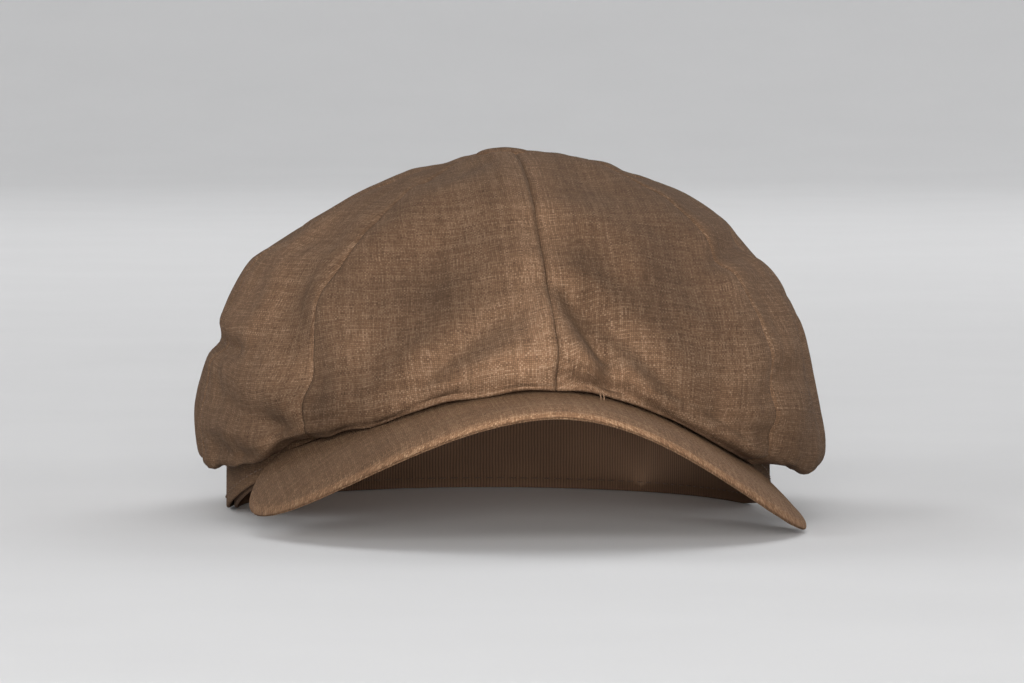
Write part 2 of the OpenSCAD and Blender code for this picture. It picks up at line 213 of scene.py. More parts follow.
# =====================================================================
# Crown meridians
# =====================================================================
# [radius, height] from the button to the hem, at azimuths 0, 45, 90, 135 and 180
MERIDIANS = np.array([
    [[0, 115], [18, 114.2], [38, 110], [58, 101], [76, 87.5],
     [90, 72.5], [99, 60.5], [105, 52.5], [108, 48], [109, 46]],
    [[0, 115], [18, 113.6], [37, 108], [56.5, 99], [74, 86],
     [88, 70], [96.5, 53], [99, 38], [97, 28.5], [91, 25]],
    [[0, 115], [18, 113], [35, 106.5], [54, 98], [70.5, 86.5],
     [84, 72], [92.5, 54], [98, 29], [95.5, 16.5], [84.9, 24]],
    [[0, 115], [19, 113], [41, 107], [63, 97.5], [83, 84],
     [100, 67], [111.5, 49], [117, 31], [114, 17.5], [103.6, 24]],
    [[0, 115], [20, 113.5], [44, 108.5], [68, 99], [91, 84.5],
     [111, 66.5], [125, 48], [133, 31], [131, 18], [123.3, 24]],
], float)
LAST = MERIDIANS.shape[1] - 1         # the hem's station
TABLE_TOP, TABLE_SIDE = 115, 98       # height and widest side radius in the table
SCALE_FROM = 60                       # heights above this are scaled to the crown's height

_z = MERIDIANS[:, :, 1]
MERIDIANS[:, :, 1] = np.where(
    _z > SCALE_FROM,
    _z + (_z - SCALE_FROM) * (CROWN_HEIGHT - TABLE_TOP) / (TABLE_TOP - SCALE_FROM), _z)
SIDE_SCALE = CROWN_SIDE / TABLE_SIDE
for _index, _scale in ((1, (1 + SIDE_SCALE) / 2), (2, SIDE_SCALE), (3, (1 + SIDE_SCALE) / 2)):
    MERIDIANS[_index, :-1, 0] *= _scale


def meridian_weight(index, angle):
    """Share of one tabled meridian at an azimuth, by cosine interpolation."""
    angle = np.radians(angle)
    total = sum(share * math.cos(math.radians(45 * index * wave)) * np.cos(wave * angle)
                for wave, share in enumerate((0.5, 1, 1, 1, 0.5)))
    return (1 if index in (0, 4) else 2) / 4 * total


def meridian(angle, station):
    """[radius, height] at an azimuth and a fractional station."""
    angle, station = np.broadcast_arrays(np.asarray(angle, float), np.asarray(station, float))
    weights = np.stack([meridian_weight(j, angle) for j in range(5)], -1)
    i = np.clip(np.floor(station).astype(int), 0, LAST - 1)

    def at(k):
        return np.einsum("...j,j...c->...c", weights, MERIDIANS[:, np.clip(k, 0, LAST), :])

    p1, p2 = at(i), at(i + 1)
    p0 = np.where((i == 0)[..., None], p2 * np.array([-1.0, 1.0]), at(i - 1))
    p3 = np.where((i == LAST - 1)[..., None], 2 * p2 - p1, at(i + 2))
    return spline(p0, p1, p2, p3, (station - i)[..., None])


def hem_shift(angle):
    """Lifts the front hem to its gap above the visor."""
    edge = meridian(angle, LAST)
    point = polar(edge[..., 0], np.radians(angle), edge[..., 1])
    gap = visor_z(point[..., 0], point[..., 1]) + HEM_GAP - point[..., 2]
    return smooth((SEAM_FRONT + 34 - np.abs(wrap(angle))) / 34) * gap


def crown_base(angle, station):
    """The even crown, hollowed under the button."""
    line = meridian(angle, station)
    hollow = SEAT_DIP * (1 - smooth((line[..., 0] - 10.5) / 15))
    return polar(line[..., 0], np.radians(angle),
                 line[..., 1] - hollow + smooth((station - 5) / 4) * hem_shift(angle))


# =====================================================================
# Front view: x to the wearer's left, z up, seen a little from the wearer's right and above
# =====================================================================
VIEW_AZ, VIEW_EL, VIEW_DIST = math.radians(-6.5), math.radians(3.0), 2200.0
VIEW_BACK = np.array([math.sin(VIEW_AZ) * math.cos(VIEW_EL),
                      -math.cos(VIEW_AZ) * math.cos(VIEW_EL), math.sin(VIEW_EL)])
VIEW_RIGHT = np.array([math.cos(VIEW_AZ), math.sin(VIEW_AZ), 0.0])
VIEW_UP = np.cross(VIEW_BACK, VIEW_RIGHT)
VIEW_UP = VIEW_UP if VIEW_UP[2] > 0 else -VIEW_UP

# outline of the slouched, lopsided crown in the front view, round this centre:
# (angle from the wearer's left over the top to the right, radius)
OUTLINE_X, OUTLINE_Z = 3.0, 35.0
SLOUCH = np.array([
    (-10, 99), (0, 96), (10, 95), (20, 94), (30, 90), (40, 87), (50, 85), (60, 81), (75, 79),
    (90, 78), (105, 77), (120, 78), (135, 83), (150, 91), (160, 93), (170, 93), (180, 97),
    (190, 97)], float)


def front_view(point):
    scale = VIEW_DIST / (VIEW_DIST - point @ VIEW_BACK)
    return (point @ VIEW_RIGHT) * scale, (point @ VIEW_UP) * scale


def outline_polar(x, z):
    """Angle and radius round the outline's centre."""
    angle = np.degrees(np.arctan2(z - OUTLINE_Z, x - OUTLINE_X))
    angle = np.where(angle < -90, angle + 360, angle)
    return angle, np.hypot(x - OUTLINE_X, z - OUTLINE_Z)


def outline_gain():
    """Angles, radius of the even crown there, and the gain that makes it slouch."""
    angles, stations = np.meshgrid(np.arange(-180, 180, 1.0), np.linspace(0.1, LAST, 160),
                                   indexing="ij")
    angle, radius = outline_polar(*front_view(crown_base(angles, stations)))
    bins = np.arange(-14, 195, 3.0)
    base = np.array([radius[np.abs(angle - b) < 2.0].max() for b in bins])
    gain = np.interp(bins, SLOUCH[:, 0], SLOUCH[:, 1]) / base
    gain = np.convolve(np.pad(gain, 1, mode="edge"), [0.2, 0.6, 0.2], mode="valid")
    return bins, base, gain


OUT_ANGLE, OUT_RADIUS, OUT_GAIN = outline_gain()


def crown_slouched(angle, station):
    """The crown pulled sideways and up to the slouched outline."""
    point = crown_base(angle, station)
    x, z = front_view(point)
    turn, radius = outline_polar(x, z)
    gain = np.interp(turn, OUT_ANGLE, OUT_GAIN)
    edge = np.interp(turn, OUT_ANGLE, OUT_RADIUS)
    # the sewn edge stays on its band and visor
    free = smooth((z - 4) / 16) * smooth((9.0 - station) / 0.9)
    pull = (gain - 1) * smooth(radius / edge * 1.05) * free
    return (point + ((x - OUTLINE_X) * pull)[..., None] * VIEW_RIGHT
            + ((z - OUTLINE_Z) * pull)[..., None] * VIEW_UP)


# =====================================================================
# Folds, and painted shade and highlights, drawn as soft lines in the front view
# =====================================================================
# (points, width, depth, shoulder, lean); a negative depth raises a ridge
FOLDS = [
    # creases on the left front and rounded edges beside the flare over the visor
    ([(19.5, 77), (24.5, 66), (31.5, 56), (40.5, 46)], 4.2, 6.0, 0.45, -0.3),
    ([(-1, 68), (-16, 56), (-28, 46), (-38, 38), (-46, 30)], 8.0, -2.4, 0.25, 0.3),
    ([(40, 62), (53, 51), (63, 41), (70, 32)], 8.0, -2.0, 0.25, -0.3),
    # long shallow valleys down from the top, and one down the right
    ([(28, 95), (36, 80), (42, 66)], 9.0, 2.0, 0.3),
    ([(-6, 99), (-20, 83), (-31, 66)], 10.0, 1.6, 0.3),
    ([(-58, 84), (-64, 66), (-60, 48), (-53, 33)], 7.0, 2.2, 0.45),
    # dimples at the wearer's right side
    ([(-97, 54), (-88, 54), (-75, 50)], 3.4, 3.0, 0.5),
    ([(-90, 40), (-78, 32), (-62, 24)], 4.4, 1.9, 0.5),
    ([(-94, 24), (-80, 19), (-64, 17)], 3.0, 1.2, 0.5),
    # shoulder dip and low creases at the left side
    ([(86, 86), (75, 85), (64, 78)], 4.2, 2.0, 0.5),
    ([(98, 48), (88, 43), (79, 31)], 5.0, 2.0, 0.5),
    ([(64, 36), (78, 27), (92, 24)], 3.6, 1.8, 0.5),
]
# (brightness, points, width) of painted shade and highlights; negative is painted shade, positive
# a painted highlight
PAINTED_LIGHT_LINES = [
    (-0.30, [(-6, 84), (-17, 67), (-31, 50), (-44, 34), (-50, 22)], 13.0),
    (-0.18, [(34, 82), (52, 62), (60, 46), (68, 30)], 13.0),
    (-0.22, [(22, 92), (27, 76), (33, 62), (40, 50)], 7.0),
    (-0.24, [(-76, 41), (-65, 37), (-53, 32), (-42, 26)], 8.0),
    (0.15, [(7, 100), (9, 80), (12, 66), (8, 50), (2, 36)], 7.0),
    (0.26, [(-88, 36), (-76, 66), (-62, 88), (-40, 106)], 12.0),
    (0.24, [(94, 30), (88, 66), (74, 86), (52, 100)], 12.0),
]


def crease(x, z, points, width, depth, shoulder, lean=0.0):
    """A soft valley along a line, with a low ridge on each side; it tapers at its ends."""
    points = np.asarray(points, float)
    lengths = np.linalg.norm(np.diff(points, axis=0), axis=1)
    start = np.concatenate([[0], np.cumsum(lengths)]) / lengths.sum()
    best = np.full(np.shape(x), 1e9)
    side = np.zeros(np.shape(x))
    along = np.zeros(np.shape(x))
    for i, length in enumerate(lengths):
        way = (points[i + 1] - points[i]) / length
        rx, rz = x - points[i, 0], z - points[i, 1]
        t = np.clip(rx * way[0] + rz * way[1], 0, length)
        qx, qz = rx - t * way[0], rz - t * way[1]
        dist = np.hypot(qx, qz)
        nearer = dist < best
        best = np.where(nearer, dist, best)
        side = np.where(nearer, np.sign(way[0] * qz - way[1] * qx), side)
        here = start[i] + (start[i + 1] - start[i]) * t / length
        along = np.where(nearer, here, along)
    taper = smooth(along / 0.3) * smooth((1 - along) / 0.3)
    across = best * side
    ridge = (bell(across - 1.9 * width, 1.3 * width) * (1 + lean)
             + bell(across + 1.9 * width, 1.3 * width) * (1 - lean))
    return depth * taper * (-bell(best, width) + shoulder * ridge)


def folds(point, facing):
    """Height of the folds along the normal, where the cloth faces the front view."""
    x, z = front_view(point)
    return sum(crease(x, z, *fold) for fold in FOLDS) * smooth((facing + 0.10) / 0.35)


def painted_light(point):
    """Painted shade and highlights on the front."""
    x, z = front_view(point)
    total = sum(amount * -crease(x, z, line, width, depth=1.0, shoulder=0.0)
                for amount, line, width in PAINTED_LIGHT_LINES)
    return total * smooth((-point[..., 1] + 10) / 40)


def flare(point):
    """How far the front stands forward where it drops onto the visor."""
    x, y, z = point[..., 0], point[..., 1], point[..., 2]
    height = z - visor_z(x, y)
    up = smooth((height - 0.4) / 11.5) * bell(np.maximum(height - 12.5, 0), 8.5)
    side = smooth((46 - 1.7 * height + 7.5 - np.abs(x - 3)) / 16)
    return 7.2 * up * side * smooth((-y - 55) / 25)


# =====================================================================
# Crown surface
# =====================================================================
# a row in 0..1 runs evenly along the mean of the front side, side and back meridians
STATIONS = np.linspace(0.085, LAST, 900)
ROW_ARC = sum(arc(meridian(_angle, STATIONS), 0) for _angle in (30.0, 90.0, 150.0))
ROW_ARC /= ROW_ARC[-1]

drape_field = None                    # offsets (azimuth, row, xyz) from the cloth simulation


def station_of(row):
    return np.interp(row, ROW_ARC, STATIONS)


def drape_at(angle, row):
    """Drape offset by cubic interpolation."""
    if drape_field is None:
        return 0.0
    columns, rows = drape_field.shape[:2]
    across = (angle % 360) / 360 * columns
    down = np.clip(row, 0, 1) * (rows - 1)
    i0 = np.floor(across).astype(int)
    j0 = np.clip(np.floor(down).astype(int), 0, rows - 2)
    lines = []
    for dj in (-1, 0, 1, 2):
        j = np.clip(j0 + dj, 0, rows - 1)
        knots = [drape_field[(i0 + di) % columns, j] for di in (-1, 0, 1, 2)]
        lines.append(spline(*knots, (across - i0)[..., None]))
    return spline(*lines, (down - j0)[..., None])


def crown_shape(angle, row):
    """The crown's outer surface, without seams."""
    angle, station, row = np.broadcast_arrays(np.asarray(angle, float), station_of(row), row)
    point = crown_slouched(angle, station)
    step = 0.35
    across = crown_slouched(angle + step, station) - crown_slouched(angle - step, station)
    down = (crown_slouched(angle, np.minimum(LAST, station + 0.05))
            - crown_slouched(angle, np.maximum(0.03, station - 0.05)))
    normal = unit(np.cross(down, across))
    inward = (normal * (point - CROWN_CENTRE)).sum(-1) < 0
    normal = np.where(inward[..., None] & (station < 6.5)[..., None], -normal, normal)
    # folds, and the broad and finer unevenness of soft cloth
    fade = smooth((station - 0.5) / 1.1) * smooth((9.0 - station) / 0.8)
    turn = np.radians(angle)
    broad = 0.9 * noise2(3 + 2.2 * np.cos(turn) * row * 3,
                         5 + 2.2 * np.sin(turn) * row * 3, seed=11)
    fine = 0.35 * noise2(9 + 5.0 * np.cos(turn) * row * 3,
                         2 + 5.0 * np.sin(turn) * row * 3, seed=12)
    calm_top = 1 - 0.45 * smooth((point[..., 2] - 82) / 16)
    relief = folds(point, normal @ VIEW_BACK) * fade + fade * calm_top * (broad + fine)
    point = point + normal * relief[..., None]
    point = point - flare(point)[..., None] * np.array([0.0, 1.0, 0.0])
    return point + drape_at(angle, row)


# =====================================================================
# Mesh building
# =====================================================================
def add_mesh(name, verts, faces, mat, uv, wear_and_painted_light=None):
    """verts in mm; uv is one pair per vertex, in mm of cloth; the last argument brightens or
    darkens the cloth, for wear and for painted shade and highlights.
    """
    mesh = bpy.data.meshes.new(name)
    mesh.from_pydata((np.asarray(verts, float).reshape(-1, 3) * MM).tolist(), [], faces)
    mesh.validate()
    work = bmesh.new()
    work.from_mesh(mesh)
    bmesh.ops.recalc_face_normals(work, faces=work.faces)
    work.to_mesh(mesh)
    work.free()
    mesh.polygons.foreach_set("use_smooth", np.ones(len(mesh.polygons), bool))
    layer = mesh.uv_layers.new(name="cloth")
    corners = np.zeros(len(mesh.loops), np.int32)
    mesh.loops.foreach_get("vertex_index", corners)
    layer.data.foreach_set("uv", np.asarray(uv, np.float32).reshape(-1, 2)[corners].ravel())
    if wear_and_painted_light is not None:
        attribute = mesh.attributes.new("wear_and_painted_light", "FLOAT", "POINT")
        attribute.data.foreach_set("value", np.asarray(wear_and_painted_light, np.float32).ravel())
    mesh.materials.append(mat)
    piece = bpy.data.objects.new(name, mesh)
    COLL.objects.link(piece)
    return piece


def fit(piece, replaces=None, body="cap"):
    if replaces:
        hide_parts(replaces)
    if body:
        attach(piece, body)
    else:
        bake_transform(piece)


def closed(outer, curl, inner):
    """Joins values of the outer face, rolled edge and inner face into one loop per column."""
    return np.concatenate([outer, curl, inner[:, ::-1]], axis=1)


def sheet_faces(loop, rows):
    """Faces of a closed cloth whose outer and inner faces have this many rows."""
    columns, size = loop.shape[:2]

    def at(i, k):
        return i * size + (k % size)

    faces = [(at(i, k), at(i + 1, k), at(i + 1, k + 1), at(i, k + 1))
             for i in range(columns - 1) for k in range(size)]
    for i in (0, columns - 1):
        for j in range(rows - 1):
            faces.append((at(i, j), at(i, j + 1), at(i, size - 2 - j), at(i, size - 1 - j)))
        faces.append(tuple(at(i, k) for k in range(rows - 1, size - rows + 1)))
    return faces


def add_sheet(name, outer, curl, inner, mat, uv, wear_and_painted_light=None):
    loop = closed(outer, curl, inner)
    return add_mesh(name, loop, sheet_faces(loop, outer.shape[1]), mat, uv, wear_and_painted_light)


def ring_faces(loop):
    """Faces of a tube that closes in both directions."""
    columns, size = loop.shape[:2]
    return [(i * size + k, ((i + 1) % columns) * size + k,
             ((i + 1) % columns) * size + (k + 1) % size, i * size + (k + 1) % size)
            for i in range(columns) for k in range(size)]


def grid_normals(points):
    return unit(np.cross(np.gradient(points, axis=1), np.gradient(points, axis=0)))


def outward_normals(points, column, row, centre):
    """Grid normals, turned so that the one at a sample point faces away from the centre."""
    normal = grid_normals(points)
    return normal * np.sign((normal[column, row] * (points[column, row] - centre)).sum())


# =====================================================================
# Materials: procedural, cloth in millimetres of cloth
# =====================================================================
def srgb(*levels):
    """Linear colour from 0-255 sRGB levels."""
    return tuple(((v / 255 + 0.055) / 1.055) ** 2.4 if v > 10 else v / 255 / 12.92
                 for v in levels) + (1.0,)


class Net:
    """A material's node tree round one Principled shader."""

    def __init__(self, name):
        self.mat = bpy.data.materials.new(name)
        self.mat.use_nodes = True
        self.tree = self.mat.node_tree
        self.tree.nodes.clear()
        self.out = self.new("OutputMaterial")
        self.bsdf = self.new("BsdfPrincipled")
        self.tree.links.new(self.bsdf.outputs[0], self.out.inputs[0])

    def new(self, kind):
        return self.tree.nodes.new("ShaderNode" + kind)

    def put(self, socket, value):
        if hasattr(value, "links"):
            self.tree.links.new(value, socket)
        else:
            socket.default_value = value

    def set(self, name, value):
        self.put(self.bsdf.inputs[name], value)

    def math(self, operation, *values, clamp=False):
        node = self.new("Math")
        node.operation, node.use_clamp = operation, clamp
        for i, value in enumerate(values):
            self.put(node.inputs[i], value)
        return node.outputs[0]

    def add(self, a, b):
        return self.math("ADD", a, b)

    def sub(self, a, b, clamp=False):
        return self.math("SUBTRACT", a, b, clamp=clamp)

    def mul(self, a, b, clamp=False):
        return self.math("MULTIPLY", a, b, clamp=clamp)

    def wave(self, value, pitch):
        return self.math("SINE", self.mul(value, 2 * PI / pitch))

    def uv(self):
        node = self.new("UVMap")
        node.uv_map = "cloth"
        return node.outputs[0]

    def obj(self):
        return self.new("TexCoord").outputs["Object"]

    def split(self, vector):
        node = self.new("SeparateXYZ")
        self.put(node.inputs[0], vector)
        return node.outputs

    def join(self, x, y, z=0.0):
        node = self.new("CombineXYZ")
        for i, value in enumerate((x, y, z)):
            self.put(node.inputs[i], value)
        return node.outputs[0]

    def noise(self, vector, scale, detail=2.0, rough=0.5):
        node = self.new("TexNoise")
        self.put(node.inputs["Vector"], vector)
        node.inputs["Scale"].default_value = scale
        node.inputs["Detail"].default_value = detail
        node.inputs["Roughness"].default_value = rough
        return node.outputs[0]

    def white(self, value):
        node = self.new("TexWhiteNoise")
        node.noise_dimensions = "1D"
        self.put(node.inputs["W"], value)
        return node.outputs[0]

    def ramp(self, value, *stops):
        """Each stop is (position, colour)."""
        node = self.new("ValToRGB")
        self.put(node.inputs[0], value)
        elements = node.color_ramp.elements
        while len(elements) < len(stops):
            elements.new(0.5)
        for i, (position, colour) in enumerate(stops):
            elements[i].position, elements[i].color = position, colour
        return node.outputs[0]

    def shaded(self, colour, shade):
        """The colour multiplied by a grey value."""
        grey = self.join(shade, shade, shade)
        node = self.new("Mix")
        node.data_type, node.blend_type = "RGBA", "MULTIPLY"
        for i, value in ((0, 1.0), (6, colour), (7, grey)):
            self.put(node.inputs[i], value)
        return node.outputs[2]

    def wear_and_painted_light(self):
        # per-vertex brightening and darkening: wear, and painted shade and highlights
        node = self.new("Attribute")
        node.attribute_name = "wear_and_painted_light"
        return node.outputs["Fac"]

    def bump(self, height, strength, distance):
        node = self.new("Bump")
        node.inputs["Strength"].default_value = strength
        node.inputs["Distance"].default_value = distance
        self.put(node.inputs["Height"], height)
        self.set("Normal", node.outputs[0])


def linen(name, dark, mid, light, seed, turned=0.58):
    """Plain weave with slubs; turned is its brightness under the painted shade where it faces
    away from the eye.
    """
    pitch_x, pitch_y = 0.56, 0.60     # thread spacing
    net = Net(name)
    add, sub, mul = net.add, net.sub, net.mul
    uv = net.uv()
    x, y, _ = net.split(uv)
    # threads wander a little
    drift_x = net.noise(uv, 0.11)
    drift_y = net.noise(net.join(add(y, 37.0), x), 0.11)
    x = add(x, mul(sub(drift_x, 0.5), 1.5))
    y = add(y, mul(sub(drift_y, 0.5), 1.5))
    # thread numbers, and the place across each thread
    thread_x, thread_y = net.math("DIVIDE", x, pitch_x), net.math("DIVIDE", y, pitch_y)
    num_x, num_y = net.math("FLOOR", thread_x), net.math("FLOOR", thread_y)
    off_x = sub(net.math("FRACT", thread_x), 0.5)
    off_y = sub(net.math("FRACT", thread_y), 0.5)
    rand_x = net.white(add(num_x, 11.3 + seed))
    rand_y = net.white(add(num_y, 511.7 + seed))
    # slubs: thick and thin lengths along each thread
    slub_x = net.noise(net.join(mul(num_x, 3.71), mul(y, 0.26)), 1.0)
    slub_y = net.noise(net.join(mul(x, 0.26), mul(num_y, 2.93), 40.0), 1.0)
    # warp lies over where weft_over is 0, weft where it is 1
    weft_over = net.math("FLOORED_MODULO", add(num_x, num_y), 2.0)
    warp_over = sub(1.0, weft_over)

    def hump(offset, slub):
        """Round section of a thread, wider at a slub."""
        half = add(0.36, mul(slub, 0.26))
        part = net.math("DIVIDE", offset, half)
        return net.math("SQRT", sub(1.0, mul(part, part), clamp=True))

    def crest(round_, arch):
        return mul(round_, add(0.35, mul(arch, 0.65)))

    def layer(over, top, under):
        return mul(over, net.math("MAXIMUM", top, mul(under, 0.34)))

    def thread_tone(over, rand, slub):
        return mul(over, add(mul(rand, 0.30), mul(slub, 0.62)))

    hump_x, hump_y = hump(off_x, slub_x), hump(off_y, slub_y)
    arch_x = net.math("COSINE", mul(off_y, PI))
    arch_y = net.math("COSINE", mul(off_x, PI))
    top_x, top_y = crest(hump_x, arch_x), crest(hump_y, arch_y)
    height = add(layer(warp_over, top_x, hump_y), layer(weft_over, top_y, hump_x))
    level = add(thread_tone(warp_over, rand_x, slub_x), thread_tone(weft_over, rand_y, slub_y))
    level = add(level, 0.04)
    # each crossing differs a little
    spot = net.white(add(mul(num_x, 1.37), mul(num_y, 57.31)))
    level = add(level, mul(sub(spot, 0.5), 0.20))
    # long pale and dark slubs that read from a distance
    long_x = net.noise(net.join(mul(x, 1.15), mul(y, 0.19), 9.0), 1.0, 2.5, 0.6)
    long_y = net.noise(net.join(mul(x, 0.19), mul(y, 1.15), 21.0), 1.0, 2.5, 0.6)
    level = add(level, mul(sub(add(long_x, long_y), 1.0), 0.38))
    colour = net.ramp(level, (0.10, srgb(*dark)), (0.50, srgb(*mid)), (0.92, srgb(*light)))
    # dye is uneven over a few centimetres; gaps between threads are darker
    broad = net.noise(uv, 0.022, 3.0)
    small = net.noise(uv, 0.35)
    shade = add(0.80, mul(broad, 0.30))
    shade = add(shade, mul(small, 0.12))
    shade = mul(shade, add(0.55, mul(height, 0.55)))
    # painted shade: the cloth is darker where it turns away from the eye
    geometry = net.new("NewGeometry")
    dot = net.new("VectorMath")
    dot.operation = "DOT_PRODUCT"
    net.put(dot.inputs[0], geometry.outputs["Normal"])
    net.put(dot.inputs[1], geometry.outputs["Incoming"])
    facing = net.math("ABSOLUTE", dot.outputs["Value"])
    shade = mul(shade, add(turned, mul(mul(facing, facing), 1.08 - turned)))
    shade = mul(shade, add(1.0, net.wear_and_painted_light()))
    net.set("Base Color", net.shaded(colour, shade))
    net.set("Roughness", add(0.80, mul(height, 0.10)))
    net.set("Specular IOR Level", 0.10)
    net.set("Sheen Weight", 0.07)
    net.set("Sheen Roughness", 0.45)
    net.set("Sheen Tint", srgb(196, 160, 126))
    fuzz = net.noise(uv, 2.2, 3.0, 0.7)
    rise = add(height, mul(fuzz, 0.30))
    rise = add(rise, mul(add(long_x, long_y), 0.40))
    net.bump(rise, strength=0.75, distance=0.00022)
    return net.mat


def ribbed(name, dark, mid, pitch, sheen, rough, twill=False):
    """Ribs across x, or slanting if twill."""
    net = Net(name)
    uv = net.uv()
    x, y, _ = net.split(uv)
    place = net.add(x, net.mul(net.noise(uv, 0.2), 0.5))
    if twill:
        place = net.add(place, net.mul(y, 0.9))
    rib = net.add(0.5, net.mul(net.wave(place, pitch), 0.5))
    cross = net.add(0.5, net.mul(net.wave(y, 0.45), 0.5))
    height = net.add(net.mul(rib, 0.8), net.mul(cross, 0.2))
    level = net.add(net.mul(height, 0.65), net.mul(net.noise(uv, 0.05, 3.0), 0.5))
    colour = net.ramp(level, (0.15, srgb(*dark)), (0.85, srgb(*mid)))
    net.set("Base Color", net.shaded(colour, net.add(1.0, net.wear_and_painted_light())))
    net.set("Roughness", net.add(rough, net.mul(cross, 0.1)))
    net.set("Specular IOR Level", 0.15)
    net.set("Sheen Weight", sheen)
    net.set("Sheen Roughness", 0.4)
    net.set("Sheen Tint", srgb(170, 138, 110))
    net.bump(height, strength=0.6, distance=0.00018)
    return net.mat


def canvas(name):
    net = Net(name)
    uv = net.uv()
    x, y, _ = net.split(uv)
    height = net.mul(net.wave(x, 1.3), net.wave(y, 1.3))
    level = net.add(net.mul(height, 0.2), net.noise(uv, 0.4, 3.0))
    net.set("Base Color", net.ramp(level, (0.2, srgb(178, 168, 146)), (0.8, srgb(222, 214, 196))))
    net.set("Roughness", 0.9)
    net.bump(height, strength=0.5, distance=0.0002)
    return net.mat


def plastic(name):
    net = Net(name)
    grain = net.noise(net.obj(), 900.0, 3.0)
    net.set("Base Color", net.ramp(grain, (0.3, srgb(214, 212, 204)), (0.7, srgb(230, 228, 220))))
    net.set("Roughness", net.add(0.45, net.mul(grain, 0.2)))
    net.bump(grain, strength=0.2, distance=0.0001)
    return net.mat


def steel(name):
    """Brushed steel, with fine marks along y and z."""
    net = Net(name)
    x, y, z = net.split(net.obj())
    stretched = net.join(net.mul(x, 4000.0), net.mul(y, 300.0), net.mul(z, 300.0))
    grain = net.noise(stretched, 1.0, 3.0)
    net.set("Base Color", net.ramp(grain, (0.3, srgb(168, 168, 172)), (0.7, srgb(196, 196, 199))))
    net.set("Metallic", 1.0)
    net.set("Roughness", net.add(0.28, net.mul(grain, 0.2)))
    net.bump(grain, strength=0.15, distance=0.00005)
    return net.mat


def thread(name, dark, light):
    """Twisted thread; u runs along it and v round it."""
    net = Net(name)
    x, y, _ = net.split(net.uv())
    ply = net.math("SINE", net.add(net.mul(x, 2 * PI / 0.42), net.mul(y, 2.0)))
    level = net.add(net.mul(ply, 0.3), net.noise(net.obj(), 260.0))
    net.set("Base Color", net.ramp(level, (0.2, srgb(*dark)), (0.8, srgb(*light))))
    net.set("Roughness", 0.6)
    net.set("Sheen Weight", 0.04)
    net.set("Specular IOR Level", 0.2)
    net.bump(ply, strength=0.6, distance=0.00006)
    return net.mat


MAT = {
    "crown": linen("crown_linen", dark=(84, 62, 46), mid=(114, 87, 66),
                   light=(149, 122, 99), seed=0.0),
    "band": linen("band_linen", dark=(81, 59, 42), mid=(110, 83, 62),
                  light=(146, 117, 91), seed=100.0),
    "visor": linen("visor_linen", dark=(84, 61, 44), mid=(114, 86, 64),
                   light=(152, 123, 96), seed=200.0, turned=0.92),
    "button": linen("button_linen", dark=(78, 55, 39), mid=(108, 80, 59),
                    light=(146, 116, 90), seed=300.0),
    "lining": ribbed("lining_twill", dark=(80, 61, 47), mid=(120, 95, 75),
                     pitch=0.9, sheen=0.08, rough=0.5, twill=True),
    "sweat": ribbed("sweatband_ribbed", dark=(66, 50, 39), mid=(104, 80, 62),
                    pitch=1.0, sheen=0.05, rough=0.78),
    "canvas": canvas("stiffener_canvas"),
    "board": plastic("visor_board_plastic"),
    "steel": steel("button_steel"),
    "thread": thread("thread_brown", dark=(112, 86, 66), light=(150, 121, 96)),
    "thread_mid": thread("thread_mid_brown", dark=(80, 60, 45), light=(112, 87, 67)),
    "thread_dark": thread("thread_dark", dark=(58, 44, 34), light=(92, 71, 56)),
}


# =====================================================================
# Drape: the crown as one sheet of cloth, held at its hem and its button
# =====================================================================
def kernel(sigma):
    reach = int(3 * sigma)
    weights = np.exp(-0.5 * (np.arange(-reach, reach + 1) / sigma) ** 2)
    return weights / weights.sum(), reach


def blur(field, sigma_across, sigma_down):
    """Gaussian blur, periodic across the columns."""
    weights, reach = kernel(sigma_across)
    field = sum(weights[i + reach] * np.roll(field, i, axis=0)
                for i in range(-reach, reach + 1))
    weights, reach = kernel(sigma_down)
    rows = field.shape[1]
    padded = np.pad(field, ((0, 0), (reach, reach), (0, 0)), mode="edge")
    return sum(weights[i] * padded[:, i:i + rows] for i in range(2 * reach + 1))


def simulate(points, hold):
    """Points of the crown grid after the cloth simulation; hold pins each by 0..1."""
    scale = 0.01                      # ten times life size, where the solver is steady
    columns, rows = points.shape[:2]
    mesh = bpy.data.meshes.new("drape_tmp")
    faces = [(i * rows + j, ((i + 1) % columns) * rows + j,
              ((i + 1) % columns) * rows + j + 1, i * rows + j + 1)
             for i in range(columns) for j in range(rows - 1)]
    mesh.from_pydata((points.reshape(-1, 3) * scale).tolist(), [], faces)
    sheet = bpy.data.objects.new("drape_tmp", mesh)
    COLL.objects.link(sheet)
    group = sheet.vertex_groups.new(name="hold")
    for level in np.unique(hold):
        group.add(np.nonzero(hold == level)[0].tolist(), float(level), "REPLACE")
    modifier = sheet.modifiers.new("Cloth", "CLOTH")
    cloth = modifier.settings
    cloth.quality, cloth.mass, cloth.air_damping = 6, 0.35, 2.0
    cloth.tension_stiffness = cloth.compression_stiffness = 20.0
    cloth.shear_stiffness = cloth.bending_stiffness = 6.0
    cloth.vertex_group_mass, cloth.pin_stiffness = "hold", 1.0
    cloth.shrink_min = cloth.shrink_max = -0.014        # negative: the cloth grows
    cloth.use_pressure, cloth.uniform_pressure_force = True, 0.0
    cloth.effector_weights.gravity = 0.04
    modifier.collision_settings.use_collision = False
    last = 24
    modifier.point_cache.frame_start, modifier.point_cache.frame_end = 1, last
    scene = bpy.context.scene
    for number in range(1, last + 1):
        scene.frame_set(number)
    settled = sheet.evaluated_get(bpy.context.evaluated_depsgraph_get())
    result = settled.to_mesh()
    coords = np.zeros(len(result.vertices) * 3)
    result.vertices.foreach_get("co", coords)
    settled.to_mesh_clear()
    scene.frame_set(1)
    bpy.data.objects.remove(sheet)
    bpy.data.meshes.remove(mesh)
    return coords.reshape(columns, rows, 3) / scale


